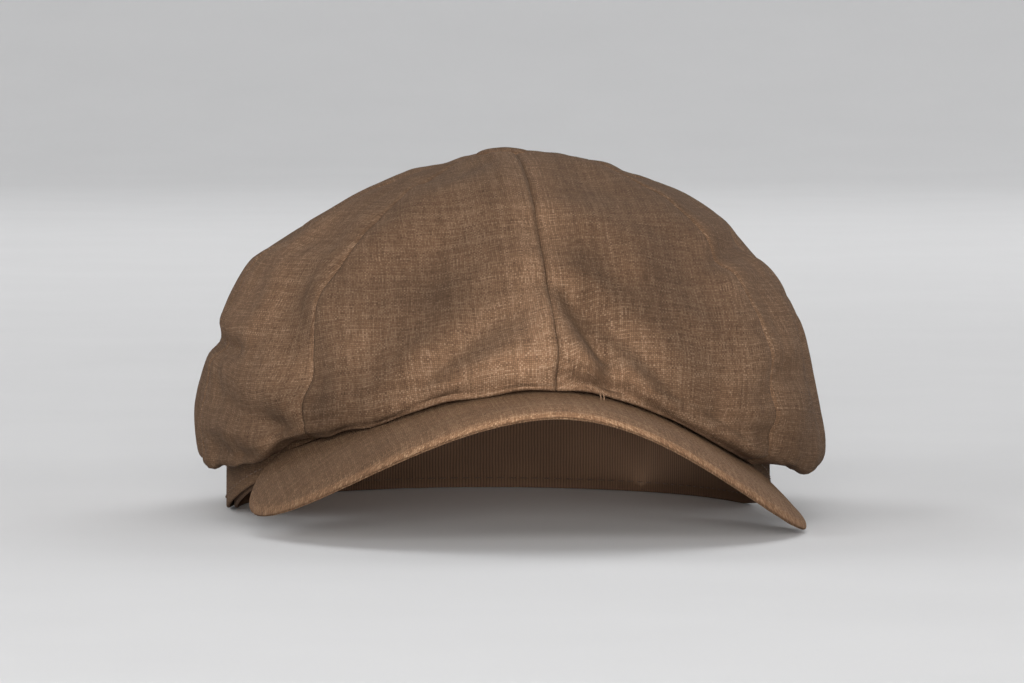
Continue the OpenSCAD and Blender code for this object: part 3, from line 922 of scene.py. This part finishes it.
def drape_crown():
    columns, rows = 176, 84
    angle, row = np.meshgrid(np.arange(columns) * 360.0 / columns, np.linspace(0, 1, rows),
                             indexing="ij")
    points = crown_shape(angle, row)
    # hem and button are fixed; cloth near the seams has its own light hold
    seam = np.min([np.abs(wrap(angle - s - TWIST)) for s in SEAM_ANGLES[:-1]], axis=0)
    hold = np.where((row > 0.97) | (row < 0.06), 1.0, np.where(seam < 1.1, 0.12, 0.15))
    move = simulate(points, hold.ravel()) - points
    # drop the finest and most of the broadest movement
    move = blur(move, 1.3, 1.0)
    move = move - 0.8 * blur(move, 10.0, 9.0)
    # mostly in and out, so seams keep their places
    normal = grid_normals(points)
    out = (move * normal).sum(-1, keepdims=True) * normal
    move = out + 0.35 * (move - out)
    size = np.linalg.norm(move, axis=-1, keepdims=True)
    most = 2.6
    move = move * (most * np.tanh(size / most) / np.maximum(size, 1e-6))
    fade = smooth((row - 0.05) / 0.14) * smooth((1 - row) / 0.14)
    # in front, above the visor, the worn folds already hold the cloth
    in_front = smooth((62 - np.abs(wrap(angle))) / 20) * smooth((row - 0.22) / 0.2)
    return move * (fade * (1 - 0.75 * in_front))[..., None]


drape_field = drape_crown()


# =====================================================================
# Crown: eight gores of linen
# =====================================================================
# (name, height of the pressed seam allowance at the start and at the end seam)
GORE_RIDGES = [
    ("front_left", 0, 0.10), ("side_front_left", 0.22, 0), ("side_rear_left", 0.22, 0),
    ("back_left", 0.22, 0.25), ("back_right", 0, 0.22), ("side_rear_right", 0, 0.22),
    ("side_front_right", 0, 0.22), ("front_right", 0, 0.42),
]
ROWS = np.concatenate([np.linspace(0, 0.90, 112), np.linspace(0.90, 1.0, 27)[1:]])


def column_steps(count):
    """Steps from 0 to 1, closer together at both ends."""
    t = np.linspace(0, 1, count + 1)
    return 0.25 * t + 0.75 * (0.5 - 0.5 * np.cos(PI * t))


def seam_relief(dist, down, ridge, seed):
    """Groove at a seam, the pressed allowance beside it, and puckers along it."""
    relief = -0.38 * bell(dist, 0.7) - 0.28 * bell(dist, 3.4)
    relief += ridge * smooth(dist / 1.6) * smooth((9.0 - dist) / 1.6)
    return relief + 0.26 * noise2(down / 6.5, 3.3, seed) * bell(dist, 5.0)


def build_gore(index, name, start, end, start_ridge, end_ridge):
    angle, row = np.meshgrid(start + TWIST + (end - start) * column_steps(54), ROWS,
                             indexing="ij")
    turn = np.radians(angle)
    skin = crown_shape(angle, row)
    normal = outward_normals(skin, 27, 60, CROWN_CENTRE)
    station = station_of(row)
    reach = meridian(angle, station)[..., 0]
    to_start = reach * np.radians(angle - start - TWIST)
    to_end = reach * np.radians(end + TWIST - angle)
    down = arc(skin, 1)
    left = down[:, -1:] - down        # cloth left down to the hem
    near = smooth(reach / 14.0)       # fades out under the button

    relief = near * (seam_relief(to_start, down, start_ridge, seed=30 + index)
                     + seam_relief(to_end, down, end_ridge, seed=30 + (index + 1) % 8))
    # the gore swells between its seams
    half = 0.5 * reach * math.radians(end - start)
    swell = 1 - (np.minimum(to_start, to_end) / np.maximum(half, 1) - 1) ** 2
    relief += 0.5 * near * swell * smooth(station / 3) * smooth((8.4 - station) / 2)
    # the turned-up hem: a slight step eight millimetres above the edge, and gathers
    relief += 0.28 * smooth((8.2 - left) / 1.0) - 0.16 * bell(left - 8.6, 1.0)
    on_visor = smooth((62 - np.abs(wrap(angle))) / 12)
    relief += on_visor * 0.20 * noise2(turn * 14, left / 9, seed=71) * smooth((16 - left) / 8)
    skin = skin + normal * relief[..., None]

    # the hem lifts off the visor a little where the crown hangs over its ends
    lift = 3.3 * bell(wrap(angle) + 50, 12) + 1.7 * bell(wrap(angle) - 64, 10)
    lift = lift * smooth((16 - left) / 16)
    skin[..., 2] += lift
    skin[..., 0] += 0.5 * lift * smooth(left / 5) * np.sin(turn)
    skin[..., 1] -= 0.5 * lift * smooth(left / 5) * np.cos(turn)
    # the hem line wanders by a fraction of a millimetre
    skin[..., 2] += on_visor * smooth((6 - left) / 6) * 0.45 * noise2(turn * 9, 2.5, seed=72)
    skin[..., 2] += 0.45 * on_visor * smooth((5 - left) / 5)

    fresh = grid_normals(skin)
    normal = fresh * np.sign((fresh * normal).sum(-1, keepdims=True))
    thick = 0.95 + 0.85 * smooth((8.0 - left) / 2.5) * np.where(on_visor > 0, 1, 0.4)
    inner = skin - normal * thick[..., None]
    downward = unit(skin[:, -1] - skin[:, -3])
    radius = thick[:, -1:] / 2
    centre = skin[:, -1] - normal[:, -1] * radius
    curl = np.stack([centre + normal[:, -1] * (radius * math.sin(q))
                     + downward * (radius * math.cos(q))
                     for q in np.radians([60, 30, 0, -30, -60])], 1)
    if on_visor.max() > 0:            # nothing of the hem goes down into the visor
        for part in (curl, inner):
            floor_z = visor_z(part[..., 0], part[..., 1]) + 0.12
            inside = (part[..., 1] < -50) & (np.abs(part[..., 0]) < 82)
            part[..., 2] = np.where(inside, np.maximum(part[..., 2], floor_z), part[..., 2])

    # grain runs down the middle of the gore, or along the centre seam in front
    grain = {"front_left": 0.0, "front_right": 360.0}.get(name, (start + end) / 2) + TWIST
    uv = np.stack([reach * np.radians(angle - grain) + 37.0 * index, down + 11.0 * index], -1)
    count = curl.shape[1]
    uv_curl = (np.repeat(uv[:, -1:], count, axis=1)
               + np.arange(1, count + 1)[None, :, None] * np.array([0, 0.5]))

    # darker in the seams, paler beside them and along the hem
    wear_and_painted_light = -0.06 * near * (bell(to_start, 0.9) + bell(to_end, 0.9))
    wear_and_painted_light += 0.06 * near * (bell(to_start - 2.6, 1.4) + bell(to_end - 2.6, 1.4))
    wear_and_painted_light += 0.10 * on_visor * bell(left - 1.2, 1.4)
    # painted shade: the low sides and the upper front are darker
    away = np.abs(wrap(angle))
    wear_and_painted_light -= 0.20 * smooth((30 - left) / 18) * smooth((away - 30) / 14) * smooth((100 - away) / 20)
    wear_and_painted_light -= 0.13 * smooth((left - 24) / 16) * smooth((80 - away) / 24)
    # painted shade and highlights on the front
    wear_and_painted_light += painted_light(skin)
    # painted highlight in a strip beside the centre seam
    if name in ("front_left", "front_right"):           # paler beside the centre seam
        dist = to_start if name == "front_left" else to_end
        wear_and_painted_light += (0.13 * smooth(dist / 1.5) * smooth((10.5 - dist) / 5) * smooth(down / 20)
                 * smooth((left - 4) / 20))
    wear_and_painted_light = closed(wear_and_painted_light, np.full(curl.shape[:2], 0.05), np.full(wear_and_painted_light.shape, -0.2))
    piece = add_sheet("gore_" + name, skin, curl, inner, MAT["crown"],
                      closed(uv, uv_curl, uv), wear_and_painted_light)
    fit(piece, "panel_" + name, None if "front" in name else "cap")


for _index, (_name, _first, _second) in enumerate(GORE_RIDGES):
    build_gore(_index, _name, SEAM_ANGLES[_index], SEAM_ANGLES[_index + 1], _first, _second)


# =====================================================================
# Lining: eight gores of thin twill, seams drawn outwards
# =====================================================================
LINING_APEX = BUTTON_SEAT - 3.4


def ring_reach(turn, offset):
    """Distance from the crown's axis to the ring, in a direction given in radians."""
    dx, dy = np.sin(turn), -np.cos(turn)
    length, width = HALF_LENGTH + offset, HALF_WIDTH + offset
    qb = -2 * BUTTON_FWD * dy / (length * length)
    qc = BUTTON_FWD ** 2 / (length * length) - 1

    def solve(half_width):
        qa = dx * dx / (half_width * half_width) + dy * dy / (length * length)
        return (-qb + np.sqrt(qb * qb - 4 * qa * qc)) / (2 * qa)

    # the plain oval first, then one with the egg's width at the point found
    return solve(width * (1 + EGG * (-BUTTON_FWD + solve(width) * dy) / length))


def lining_point(turn, row):
    edge = ring_reach(turn, OFF_LINING)
    edge_z = band_top(-BUTTON_FWD - edge * np.cos(turn)) + 0.8
    radius = np.maximum(edge * np.sin(PI / 2 * row), 1.2)
    rise = np.maximum(0, np.cos(PI / 2 * row)) ** 1.15
    return polar(radius, turn, edge_z + (LINING_APEX - edge_z) * rise)


def build_lining(index, name, start, end):
    angle, row = np.meshgrid(start + (end - start) * column_steps(26), np.linspace(0, 1, 50),
                             indexing="ij")
    turn = np.radians(angle)
    skin = lining_point(turn, row)
    normal = outward_normals(skin, 10, 25, np.array([0, 0, 20.0]))
    reach = np.hypot(skin[..., 0], skin[..., 1] + BUTTON_FWD)
    dist = np.minimum(reach * np.radians(angle - start), reach * np.radians(end - angle))
    near = smooth(reach / 16)
    # seams stand out; the cloth between them sags unevenly
    relief = 0.5 * bell(dist, 1.0) * near
    sag = 0.9 + 0.8 * noise2(7 + 3.5 * row * 3 * np.cos(turn),
                             4 + 3.5 * row * 3 * np.sin(turn), seed=21)
    relief = relief - near * smooth((1 - row) / 0.1) * sag
    skin = skin + normal * np.minimum(relief, 0.5)[..., None] - normal * 0.15
    uv = np.stack([reach * np.radians(angle - (start + end) / 2) + 41 * index,
                   arc(skin, 1)], -1)
    wear_and_painted_light = -0.35 * near * bell(dist, 1.0)
    piece = add_sheet("lining_gore_" + name, skin, skin[:, -1:] - normal[:, -1:] * 0.22,
                      skin - normal * 0.45, MAT["lining"],
                      closed(uv, uv[:, -1:], uv), closed(wear_and_painted_light, wear_and_painted_light[:, -1:], wear_and_painted_light))
    fit(piece, "lining_" + name)


for _index, (_name, *_) in enumerate(GORE_RIDGES):
    build_lining(_index, _name, SEAM_ANGLES[_index], SEAM_ANGLES[_index + 1])


# =====================================================================
# Stitches: each one its own short arched thread
# =====================================================================
STITCH_LENGTH, STITCH_GAP = 2.9, 0.9


def stitch_mesh(name, ends, normals, mat, radius=0.21, lift=0.16, dive=0.35):
    """ends (count, 2, 3) of each stitch, normals (count, 3) outward."""
    sides, rings = 6, 7
    verts, faces, uvs = [], [], []
    phases = np.arange(sides) * 2 * PI / sides
    for i, ((first, last), normal) in enumerate(zip(ends, normals)):
        side = unit(np.cross(unit(last - first), normal))
        base = len(verts)
        length = np.linalg.norm(last - first)
        for k in range(rings):
            t = k / (rings - 1)
            height = lift * math.sin(PI * t) ** 0.6 if 0 < t < 1 else 0
            centre = first + (last - first) * t + normal * (height - dive * abs(2 * t - 1) ** 4)
            thick = radius * (0.55 + 0.45 * math.sin(PI * min(max(t, 0.02), 0.98)) ** 0.4)
            for phase in phases:
                verts.append(centre + thick * (math.cos(phase) * side
                                               + math.sin(phase) * normal))
                uvs.append((length * t + 3.0 * i, phase))
        for k in range(rings - 1):
            low, high = base + k * sides, base + (k + 1) * sides
            for j in range(sides):
                after = (j + 1) % sides
                faces.append((low + j, low + after, high + after, high + j))
        faces.append(tuple(base + j for j in reversed(range(sides))))
        faces.append(tuple(base + (rings - 1) * sides + j for j in range(sides)))
    return add_mesh(name, np.array(verts), faces, mat, np.array(uvs))


def stitch_ends(path):
    """Cuts a dense path into whole stitches and returns their ends."""
    run = arc(path, 0)
    count = int(run[-1] / (STITCH_LENGTH + STITCH_GAP))
    step = run[-1] / count
    starts = np.arange(count) * step
    length = step * STITCH_LENGTH / (STITCH_LENGTH + STITCH_GAP)
    return np.stack([path_at(starts, run, path), path_at(starts + length, run, path)], 1)


# =====================================================================
# Head band: outer band, stiffener, sweatband
# =====================================================================
BAND_ROWS = 20
LOW_CURL = (65, 40, 15, -15, -40, -65)      # rolled lower edge, in degrees


def build_band(name, replaces, inside, outside, mat, seed,
               wave=0.0, low_add=0, top_add=0, rows=BAND_ROWS):
    """A closed tube between two offsets from the head ring."""
    angle = np.arange(300) * 360.0 / 300
    y_out = -(HALF_LENGTH + OFF_OUT) * np.cos(np.radians(angle))
    low, high = band_low(y_out) + low_add, band_top(y_out) + top_add
    half = (outside - inside) / 2
    middle = (inside + outside) / 2
    # section: (height share, outward share, downward share of the half thickness)
    section = [(v, 1.0, 0) for v in np.linspace(1, 0, rows)]
    section += [(0, math.sin(math.radians(q)), math.cos(math.radians(q))) for q in LOW_CURL]
    section += [(v, -1.0, 0) for v in np.linspace(0, 1, rows)]
    section += [(1, math.sin(math.radians(q)), -math.cos(math.radians(q)))
                for q in (-50, 0, 50)]
    around = arc(np.stack(ring_xy(np.append(angle, 360.0), outside), -1), 0)[:-1]
    noise_x = np.cos(np.radians(angle)) * 6 + 8
    noise_y = np.sin(np.radians(angle)) * 6 + 8
    loop, uv = [], []
    for v, out, down in section:
        z = low + half + (high - low - 2 * half) * v - half * down
        waver = wave * noise2(noise_x, noise_y + v * 1.4, seed) * (0.35 + 0.65 * v)
        x, y = ring_xy(angle, middle + out * half + waver)
        loop.append(np.stack([x, y, z], -1))
        uv.append(np.stack([around, z], -1))
    loop, uv = np.stack(loop, 1), np.stack(uv, 1)
    wear_and_painted_light = np.zeros(loop.shape[:2])
    wear_and_painted_light[:, rows - 1:rows + 7] = 0.08           # paler lower edge
    fit(add_mesh(name, loop, ring_faces(loop), mat, uv, wear_and_painted_light), replaces)
    return loop


BAND_LOOP = build_band("outer_band_cloth", "outer_band", OFF_BAND + 0.05, OFF_OUT,
                       MAT["band"], seed=41, wave=0.18)
build_band("band_stiffener_canvas", "band_stiffener", OFF_STIFF + 0.05,
           OFF_STIFF + STIFF_T - 0.05, MAT["canvas"], seed=42,
           low_add=4.0, top_add=-1.5, rows=10)
SWEAT_LOOP = build_band("sweatband_cloth", "sweatband", 0.0, SWEAT_T,
                        MAT["sweat"], seed=43, wave=0.16)


def band_stitches(name, loop, mat, inside):
    """A row of stitches a little above the band's lower edge."""
    inner_row = BAND_ROWS + len(LOW_CURL)
    # both faces with rows running upwards
    face = loop[:, inner_row:inner_row + BAND_ROWS] if inside else loop[:, :BAND_ROWS][:, ::-1]
    path = np.array([path_at(column[0, 2] + 2.6, column[:, 2], column) for column in face])
    ends = stitch_ends(np.concatenate([path, path[:1]]))
    if not inside:                    # none where the visor is sewn on
        ends = ends[ends[:, :, 1].min(1) > -43.0]
    x, y, _ = ends.mean(1).T
    normals = unit(np.stack([x / HALF_WIDTH ** 2, y / HALF_LENGTH ** 2, 0 * x], -1))
    normals = normals * (-1 if inside else 1)
    fit(stitch_mesh(name, ends + normals[:, None] * 0.06, normals, mat,
                    radius=0.18, lift=0.12))


band_stitches("band_edge_stitching", BAND_LOOP, MAT["thread_mid"], inside=False)
band_stitches("sweatband_edge_stitching", SWEAT_LOOP, MAT["thread_dark"], inside=True)


# =====================================================================
# Visor: two cloth covers pulled over a board
# =====================================================================
def visor_frame(spoke, inset):
    """Plan of the brow edge, the inset outer edge and the outer edge's normal.

    Spokes run from -1 at the wearer's right corner to 1 at the left.
    """
    turn = np.radians(EDGE_TURN * spoke)
    brow = np.stack(ring_xy(BROW_SPAN * spoke, OFF_VISOR), -1)
    outer = np.stack([VISOR_HALF * np.sin(turn),
                      -VISOR_MID - (VISOR_FWD - VISOR_MID) * np.cos(turn)], -1)
    # the corners are rounded
    part = np.clip((np.abs(spoke) - 0.94) / 0.06, 0, 1)
    outer = brow + (outer - brow) * np.maximum(0.4, np.sqrt(1 - part * part))[..., None]
    # the edge faces along its own plan normal, not along the spoke
    tangent = np.gradient(outer, axis=0)
    normal = unit(np.stack([tangent[..., 1], -tangent[..., 0]], -1))
    normal *= np.sign((normal * unit(outer - brow)).sum(-1, keepdims=True))
    return brow, outer - normal * inset, normal


def visor_level(plan, depth):
    """Points over a plan, at a depth square to the visor's surface."""
    x, y = plan[..., 0], plan[..., 1]
    return np.concatenate([plan, (visor_z(x, y) - depth * slant(x))[..., None]], -1)


_even = np.linspace(-1, 1, 181)
SPOKES = np.sin(_even * PI / 2) * 0.35 + _even * 0.65
ACROSS = 1 - (1 - np.linspace(0, 1, 36)) ** 1.6         # brow to edge
HALF_T = VISOR_HALF_T * (0.45 + 0.55 * smooth((1 - np.abs(SPOKES)) / 0.07))
ROLL = 1.3 * HALF_T / VISOR_HALF_T    # how far the top cloth rolls down before the rim
RIM = HALF_T - ROLL / 2               # radius of the rounded edge
BROW, _outer, RIM_NORMAL = visor_frame(SPOKES, 0.0)
RIM_CENTRE = _outer - RIM_NORMAL * RIM[:, None]
PLAN = BROW[:, None] + (RIM_CENTRE - BROW)[:, None] * ACROSS[None, :, None]
COVER_T = 0.75
RIPPLE = (0.16 * noise2(SPOKES[:, None] * 12 + 4, ACROSS[None] * 3, seed=51)
          + 0.07 * noise2(SPOKES[:, None] * 40, ACROSS[None] * 9, seed=52))
RIPPLE = RIPPLE * smooth(ACROSS / 0.15)


def visor_edge(angle, inset):
    """Line round the rim at an angle above level, inset from the outer skin."""
    angle = math.radians(angle)
    radius = RIM - inset
    edge = visor_level(RIM_CENTRE + RIM_NORMAL * (radius * math.cos(angle))[:, None], ROLL + RIM)
    edge[:, 2] += radius * math.sin(angle) * slant(RIM_CENTRE[:, 0])
    return edge


def inner_edges(angles):
    return np.stack([visor_edge(q, np.minimum(0.62, RIM * 0.7)) for q in angles], 1)


def add_cover(name, replaces, outer, inner, drop, uv, wear_and_painted_light):
    curl = ((outer[:, -1] + inner[:, -1]) / 2 - np.array([0, 0, drop]))[:, None]
    piece = add_sheet(name, outer, curl, inner, MAT["visor"], closed(uv, uv[:, -1:], uv),
                      closed(wear_and_painted_light, wear_and_painted_light[:, -1:], wear_and_painted_light * 0))
    fit(piece, replaces, "visor")


def build_visor_top():
    from_rim = np.linalg.norm(PLAN - RIM_CENTRE[:, None], axis=-1)
    over = ROLL[:, None] * (1 - np.clip(from_rim / 8.5, 0, 1)) ** 2
    top = visor_level(PLAN, over)
    under = visor_level(PLAN, over + np.minimum(COVER_T, 0.62 * HALF_T)[:, None])
    for face in (top, under):
        face[..., 2] += RIPPLE * 0.9
    # round the rim down to the edge seam, which is sunk and puckered
    angles = (72, 54, 36, 18, 0, -14, -26, -33, -38)
    pucker = 0.016 * np.abs(noise2(SPOKES * 60, 1.5, seed=53))
    edges = np.stack([visor_edge(q, (0.30 if q < -29 else 0.0) + (q < 28) * pucker)
                      for q in angles], 1)
    outer = np.concatenate([top, edges], 1)
    inner = np.concatenate([under, inner_edges(angles)], 1)
    count = ACROSS.size
    run = arc(outer, 1)
    x, y = outer[..., 0], outer[..., 1]
    uv = np.stack([x * (1 + 0.10 * np.abs(x) / VISOR_HALF), y], -1)
    uv[:, count:, 1] -= (run[:, count:] - run[:, count - 1:count]) * 0.8
    # painted highlight round the rim, dark in its seam, and painted shade deeper towards both
    # sides, most on the wearer's right
    wear_and_painted_light = np.zeros(outer.shape[:2])
    wear_and_painted_light[:, count - 1:] = 0.10
    wear_and_painted_light[:, -2:] = -0.25
    wear_and_painted_light[:, count + 1:count + 5] += 0.12
    wear_and_painted_light -= 0.30 * smooth((-x - 22) / 34) + 0.08 * smooth((x - 40) / 30)
    add_cover("visor_top_cloth", "visor_top_cover", outer, inner, 0.12, uv, wear_and_painted_light)


def build_visor_under():
    angles = (-41, -46, -55, -66, -78)
    edges = np.stack([visor_edge(q, 0.26 if q == -41 else 0.02) for q in angles], 1)
    plan = PLAN[:, ::-1]
    depth = (2 * HALF_T)[:, None]
    under = visor_level(plan, depth)
    above = visor_level(plan, depth - np.minimum(COVER_T, HALF_T * 0.8)[:, None])
    for face in (under, above):
        face[..., 2] += 0.6 * RIPPLE[:, ::-1]
    outer = np.concatenate([edges, under], 1)
    inner = np.concatenate([inner_edges(angles), above], 1)
    uv = np.stack([outer[..., 0] * 1.1 + 300, outer[..., 1]], -1)
    wear_and_painted_light = np.zeros(outer.shape[:2])
    wear_and_painted_light[:, :2] = -0.25
    add_cover("visor_under_cloth", "visor_under_cover", outer, inner, 0.0, uv, wear_and_painted_light)


def build_visor_board():
    brow, edge, normal = visor_frame(SPOKES[np.abs(SPOKES) < 0.90], 5.0)
    plan = brow[:, None] + (edge - brow)[:, None] * np.linspace(0.02, 1, 14)[None, :, None]
    top, bottom = visor_level(plan, 1.05), visor_level(plan, 2.7)
    curl = visor_level(edge + normal * 0.6, 1.9)[:, None]
    uv = np.zeros(closed(top, curl, bottom).shape[:2] + (2,))
    piece = add_sheet("visor_board_sheet", top, curl, bottom, MAT["board"], uv)
    fit(piece, "visor_board", "visor")


def build_visor_stitches():
    """A row underneath, six millimetres in from the edge."""
    _, edge, _ = visor_frame(SPOKES[np.abs(SPOKES) < 0.93], 6.0)
    ends = stitch_ends(visor_level(edge, 2 * VISOR_HALF_T))
    x = ends.mean(1)[:, 0]
    normals = unit(np.stack([visor_slope(x), 0 * x + VISOR_FALL, -np.ones_like(x)], -1))
    piece = stitch_mesh("visor_under_stitching", ends + normals[:, None] * 0.14, normals,
                        MAT["thread_mid"])
    fit(piece, body="visor")


build_visor_top()
build_visor_under()
build_visor_board()
build_visor_stitches()


# =====================================================================
# Top button
# =====================================================================
# closed profiles: (radius, height above the button's seat)
BUTTON_PROFILE = [
    (0.02, 3.75), (2, 3.70), (4, 3.52), (5.8, 3.2), (7.4, 2.7), (8.7, 1.95), (9.45, 1.2),
    (9.5, 0.8), (9.15, 0.42), (8.3, 0.28), (8.25, 0.42), (8.8, 0.62), (8.87, 1.6), (8.3, 2.25),
    (7.0, 2.64), (5.4, 2.88), (3.6, 3.02), (1.8, 3.08), (0.02, 3.1)]
PATCH_PROFILE = [
    (1.28, -1.38), (3, -1.36), (5.2, -1.36), (5.78, -1.5), (5.78, -1.68), (5.2, -1.79),
    (3, -1.79), (1.28, -1.78)]


def lathe(name, profile, mat, replaces, body, pleat=0.0):
    """Cloth turned round the crown's axis, pleated low down."""
    profile = np.array(profile, float) + np.array([0, BUTTON_SEAT])
    run = arc(profile, 0)
    line = path_at(np.linspace(0, run[-1], 60), run, profile)
    for _ in range(3):
        line[1:-1] = (line[:-2] + 2 * line[1:-1] + line[2:]) / 4
    radius, z = line.T
    turn = (np.arange(112) * 2 * PI / 112)[:, None]
    low = smooth((BUTTON_SEAT + 1.8 - z) / 1.3)
    pleats = np.sin(turn * 17) + 0.6 * noise2(turn * 4 + 3, 2, seed=61)
    uneven = 0.05 * noise2(3 + np.cos(turn) * radius / 4, 3 + np.sin(turn) * radius / 4, seed=62)
    loop = polar(radius + pleat * low * pleats, turn, z + uneven)
    wear_and_painted_light = np.broadcast_to(0.04 - 0.2 * low, loop.shape[:2])
    fit(add_mesh(name, loop, ring_faces(loop), mat, loop[..., :2], wear_and_painted_light), replaces, body)


lathe("button_cloth", BUTTON_PROFILE, MAT["button"], "button_cloth_cover",
      "button", pleat=0.07)
lathe("button_patch_cloth", PATCH_PROFILE, MAT["lining"], "button_patch",
      "cap")
for _name in ("button_shell", "button_back_plate", "button_tack", "button_washer"):
    _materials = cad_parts[_name].data.materials
    _materials.clear()
    _materials.append(MAT["steel"])


# =====================================================================
# Two tacking stitches that hold the hem to the visor
# =====================================================================
def hem_tacks():
    ends, normals = [], []
    for k in range(2):
        angle = 8.5 + k * 0.55
        turn = math.radians(angle)
        hem = crown_shape(np.array([angle]), np.array([1.0]))[0]
        out = np.array([math.sin(turn), -math.cos(turn), 0.0])
        high = hem + out * 0.35 + np.array([0, 0, 0.55 + 0.2 * k])
        x, y, _ = hem + out * 1.9
        ends.append([high, np.array([x, y, visor_z(x, y) + 0.15])])
        normals.append(unit(out + np.array([0, 0, 0.6])))
    fit(stitch_mesh("hem_tack_stitches", np.array(ends), np.array(normals), MAT["thread"],
                    radius=0.19, lift=0.25, dive=0.3), body=None)


hem_tacks()


# =====================================================================
# Studio, in metres: pale floor that rises into a pale wall all round, soft light
# =====================================================================
GLOW = 0.08                           # light that the wall gives
GLOW_SEEN, FLOOR_SEEN = 0.11, 0.02    # how much brighter wall and floor look to the camera
WALL_R, COVE_R = 5.6, 2.2


def backdrop_material():
    net = Net("pale_studio")
    grain = net.noise(net.obj(), 9.0, 3.0)
    net.set("Base Color", net.ramp(grain, (0.2, (0.585, 0.585, 0.59, 1)),
                                   (0.8, (0.61, 0.61, 0.615, 1))))
    # the wall glows softly; seen by the camera, brightness also grows with distance
    x, y, height = net.split(net.obj())
    away = net.math("SQRT", net.add(net.mul(x, x), net.mul(y, y)))
    far = net.math("DIVIDE", net.sub(away, 0.3), 2.2, clamp=True)
    far = net.mul(net.mul(far, far), net.sub(3.0, net.mul(far, 2.0)))
    seen = net.new("LightPath").outputs["Is Camera Ray"]
    rise = net.mul(height, 1.6, clamp=True)
    glow = net.add(net.mul(rise, GLOW),
                   net.mul(seen, net.add(FLOOR_SEEN, net.mul(far, GLOW_SEEN))))
    net.set("Emission Color", (0.98, 0.99, 1.0, 1))
    net.set("Emission Strength", glow)
    net.set("Roughness", 0.85)
    net.set("Specular IOR Level", 0.0)
    # clear from behind
    geometry = net.new("NewGeometry")
    clear = net.new("BsdfTransparent")
    mix = net.new("MixShader")
    net.put(mix.inputs[0], geometry.outputs["Backfacing"])
    net.put(mix.inputs[1], net.bsdf.outputs[0])
    net.put(mix.inputs[2], clear.outputs[0])
    net.put(net.out.inputs[0], mix.outputs[0])
    return net.mat


def build_backdrop():
    """A dish: flat floor, quarter-round cove, upright wall."""
    floor_r = WALL_R - COVE_R
    profile = [(1.2, 0.0), (2.4, 0.0), (floor_r, 0.0)]
    profile += [(floor_r + COVE_R * math.sin(q), COVE_R - COVE_R * math.cos(q))
                for q in np.radians(np.linspace(5, 90, 18))]
    profile += [(WALL_R, 3.2), (WALL_R, 5.5)]
    sides, rings = 96, len(profile)
    verts = [(r * math.cos(2 * PI * i / sides), r * math.sin(2 * PI * i / sides), z)
             for i in range(sides) for r, z in profile] + [(0, 0, 0)]
    faces = [(i * rings + j, ((i + 1) % sides) * rings + j,
              ((i + 1) % sides) * rings + j + 1, i * rings + j + 1)
             for i in range(sides) for j in range(rings - 1)]
    faces += [(sides * rings, ((i + 1) % sides) * rings, i * rings) for i in range(sides)]
    mat = backdrop_material()
    mesh = bpy.data.meshes.new("studio_floor")
    mesh.from_pydata(verts, [], faces)
    mesh.update()
    if mesh.polygons[-1].normal.z < 0:
        mesh.flip_normals()
    mesh.polygons.foreach_set("use_smooth", np.ones(len(mesh.polygons), bool))
    mesh.materials.append(mat)
    backdrop = bpy.data.objects.new("studio_floor", mesh)
    backdrop.location = (0, 0, -0.0002)
    COLL.objects.link(backdrop)


def area(name, place, size, power, target=(0, -0.03, 0.05), tint=(1, 1, 1)):
    light = bpy.data.lights.new(name, "AREA")
    light.shape, light.size, light.size_y = "RECTANGLE", size[0], size[1]
    light.energy, light.color = power, tint
    lamp = bpy.data.objects.new(name, light)
    lamp.location = place
    lamp.rotation_mode = "QUATERNION"
    lamp.rotation_quaternion = (Vector(target) - Vector(place)).to_track_quat("-Z", "Y")
    lamp.visible_camera = False
    COLL.objects.link(lamp)


def set_world():
    world = bpy.data.worlds.new("studio")
    world.use_nodes = True
    background = world.node_tree.nodes["Background"]
    background.inputs[0].default_value = (0.82, 0.83, 0.85, 1)
    background.inputs[1].default_value = 0.10
    scene = bpy.context.scene
    scene.world = world
    scene.view_settings.view_transform = "Standard"
    scene.view_settings.look = "None"


def add_camera():
    """Looks at the cap along the front view's direction."""
    data = bpy.data.cameras.new("camera")
    data.sensor_width, data.lens = 36.0, 250.0
    data.clip_start, data.clip_end = 0.05, 30.0
    camera = bpy.data.objects.new("camera", data)
    COLL.objects.link(camera)
    back = Vector(VIEW_BACK.tolist())
    camera.location = Vector((0.002, -0.02, 0.054)) + back * 2.2
    camera.rotation_mode = "QUATERNION"
    camera.rotation_quaternion = (-back).to_track_quat("-Z", "Y")
    bpy.context.scene.camera = camera


build_backdrop()
area("key", (-0.30, -2.95, 0.46), size=(0.9, 0.7), power=92.0, tint=(1.0, 0.985, 0.965))
area("fill_left", (-2.1, -2.0, 0.9), size=(1.0, 1.0), power=34.0)
area("fill_right", (1.9, -2.2, 0.7), size=(1.0, 1.0), power=26.0)
area("overhead", (0.0, 0.0, 2.8), size=(2.4, 2.4), power=24.0)
area("back_left", (-2.3, 2.3, 2.3), size=(2.2, 1.6), power=40.0)
area("back_right", (2.1, 2.5, 2.3), size=(2.2, 1.6), power=46.0)
area("inside", (0.0, 0.01, 0.002), size=(0.11, 0.13), power=0.05, target=(0.0, 0.01, 1.0))
set_world()
add_camera()
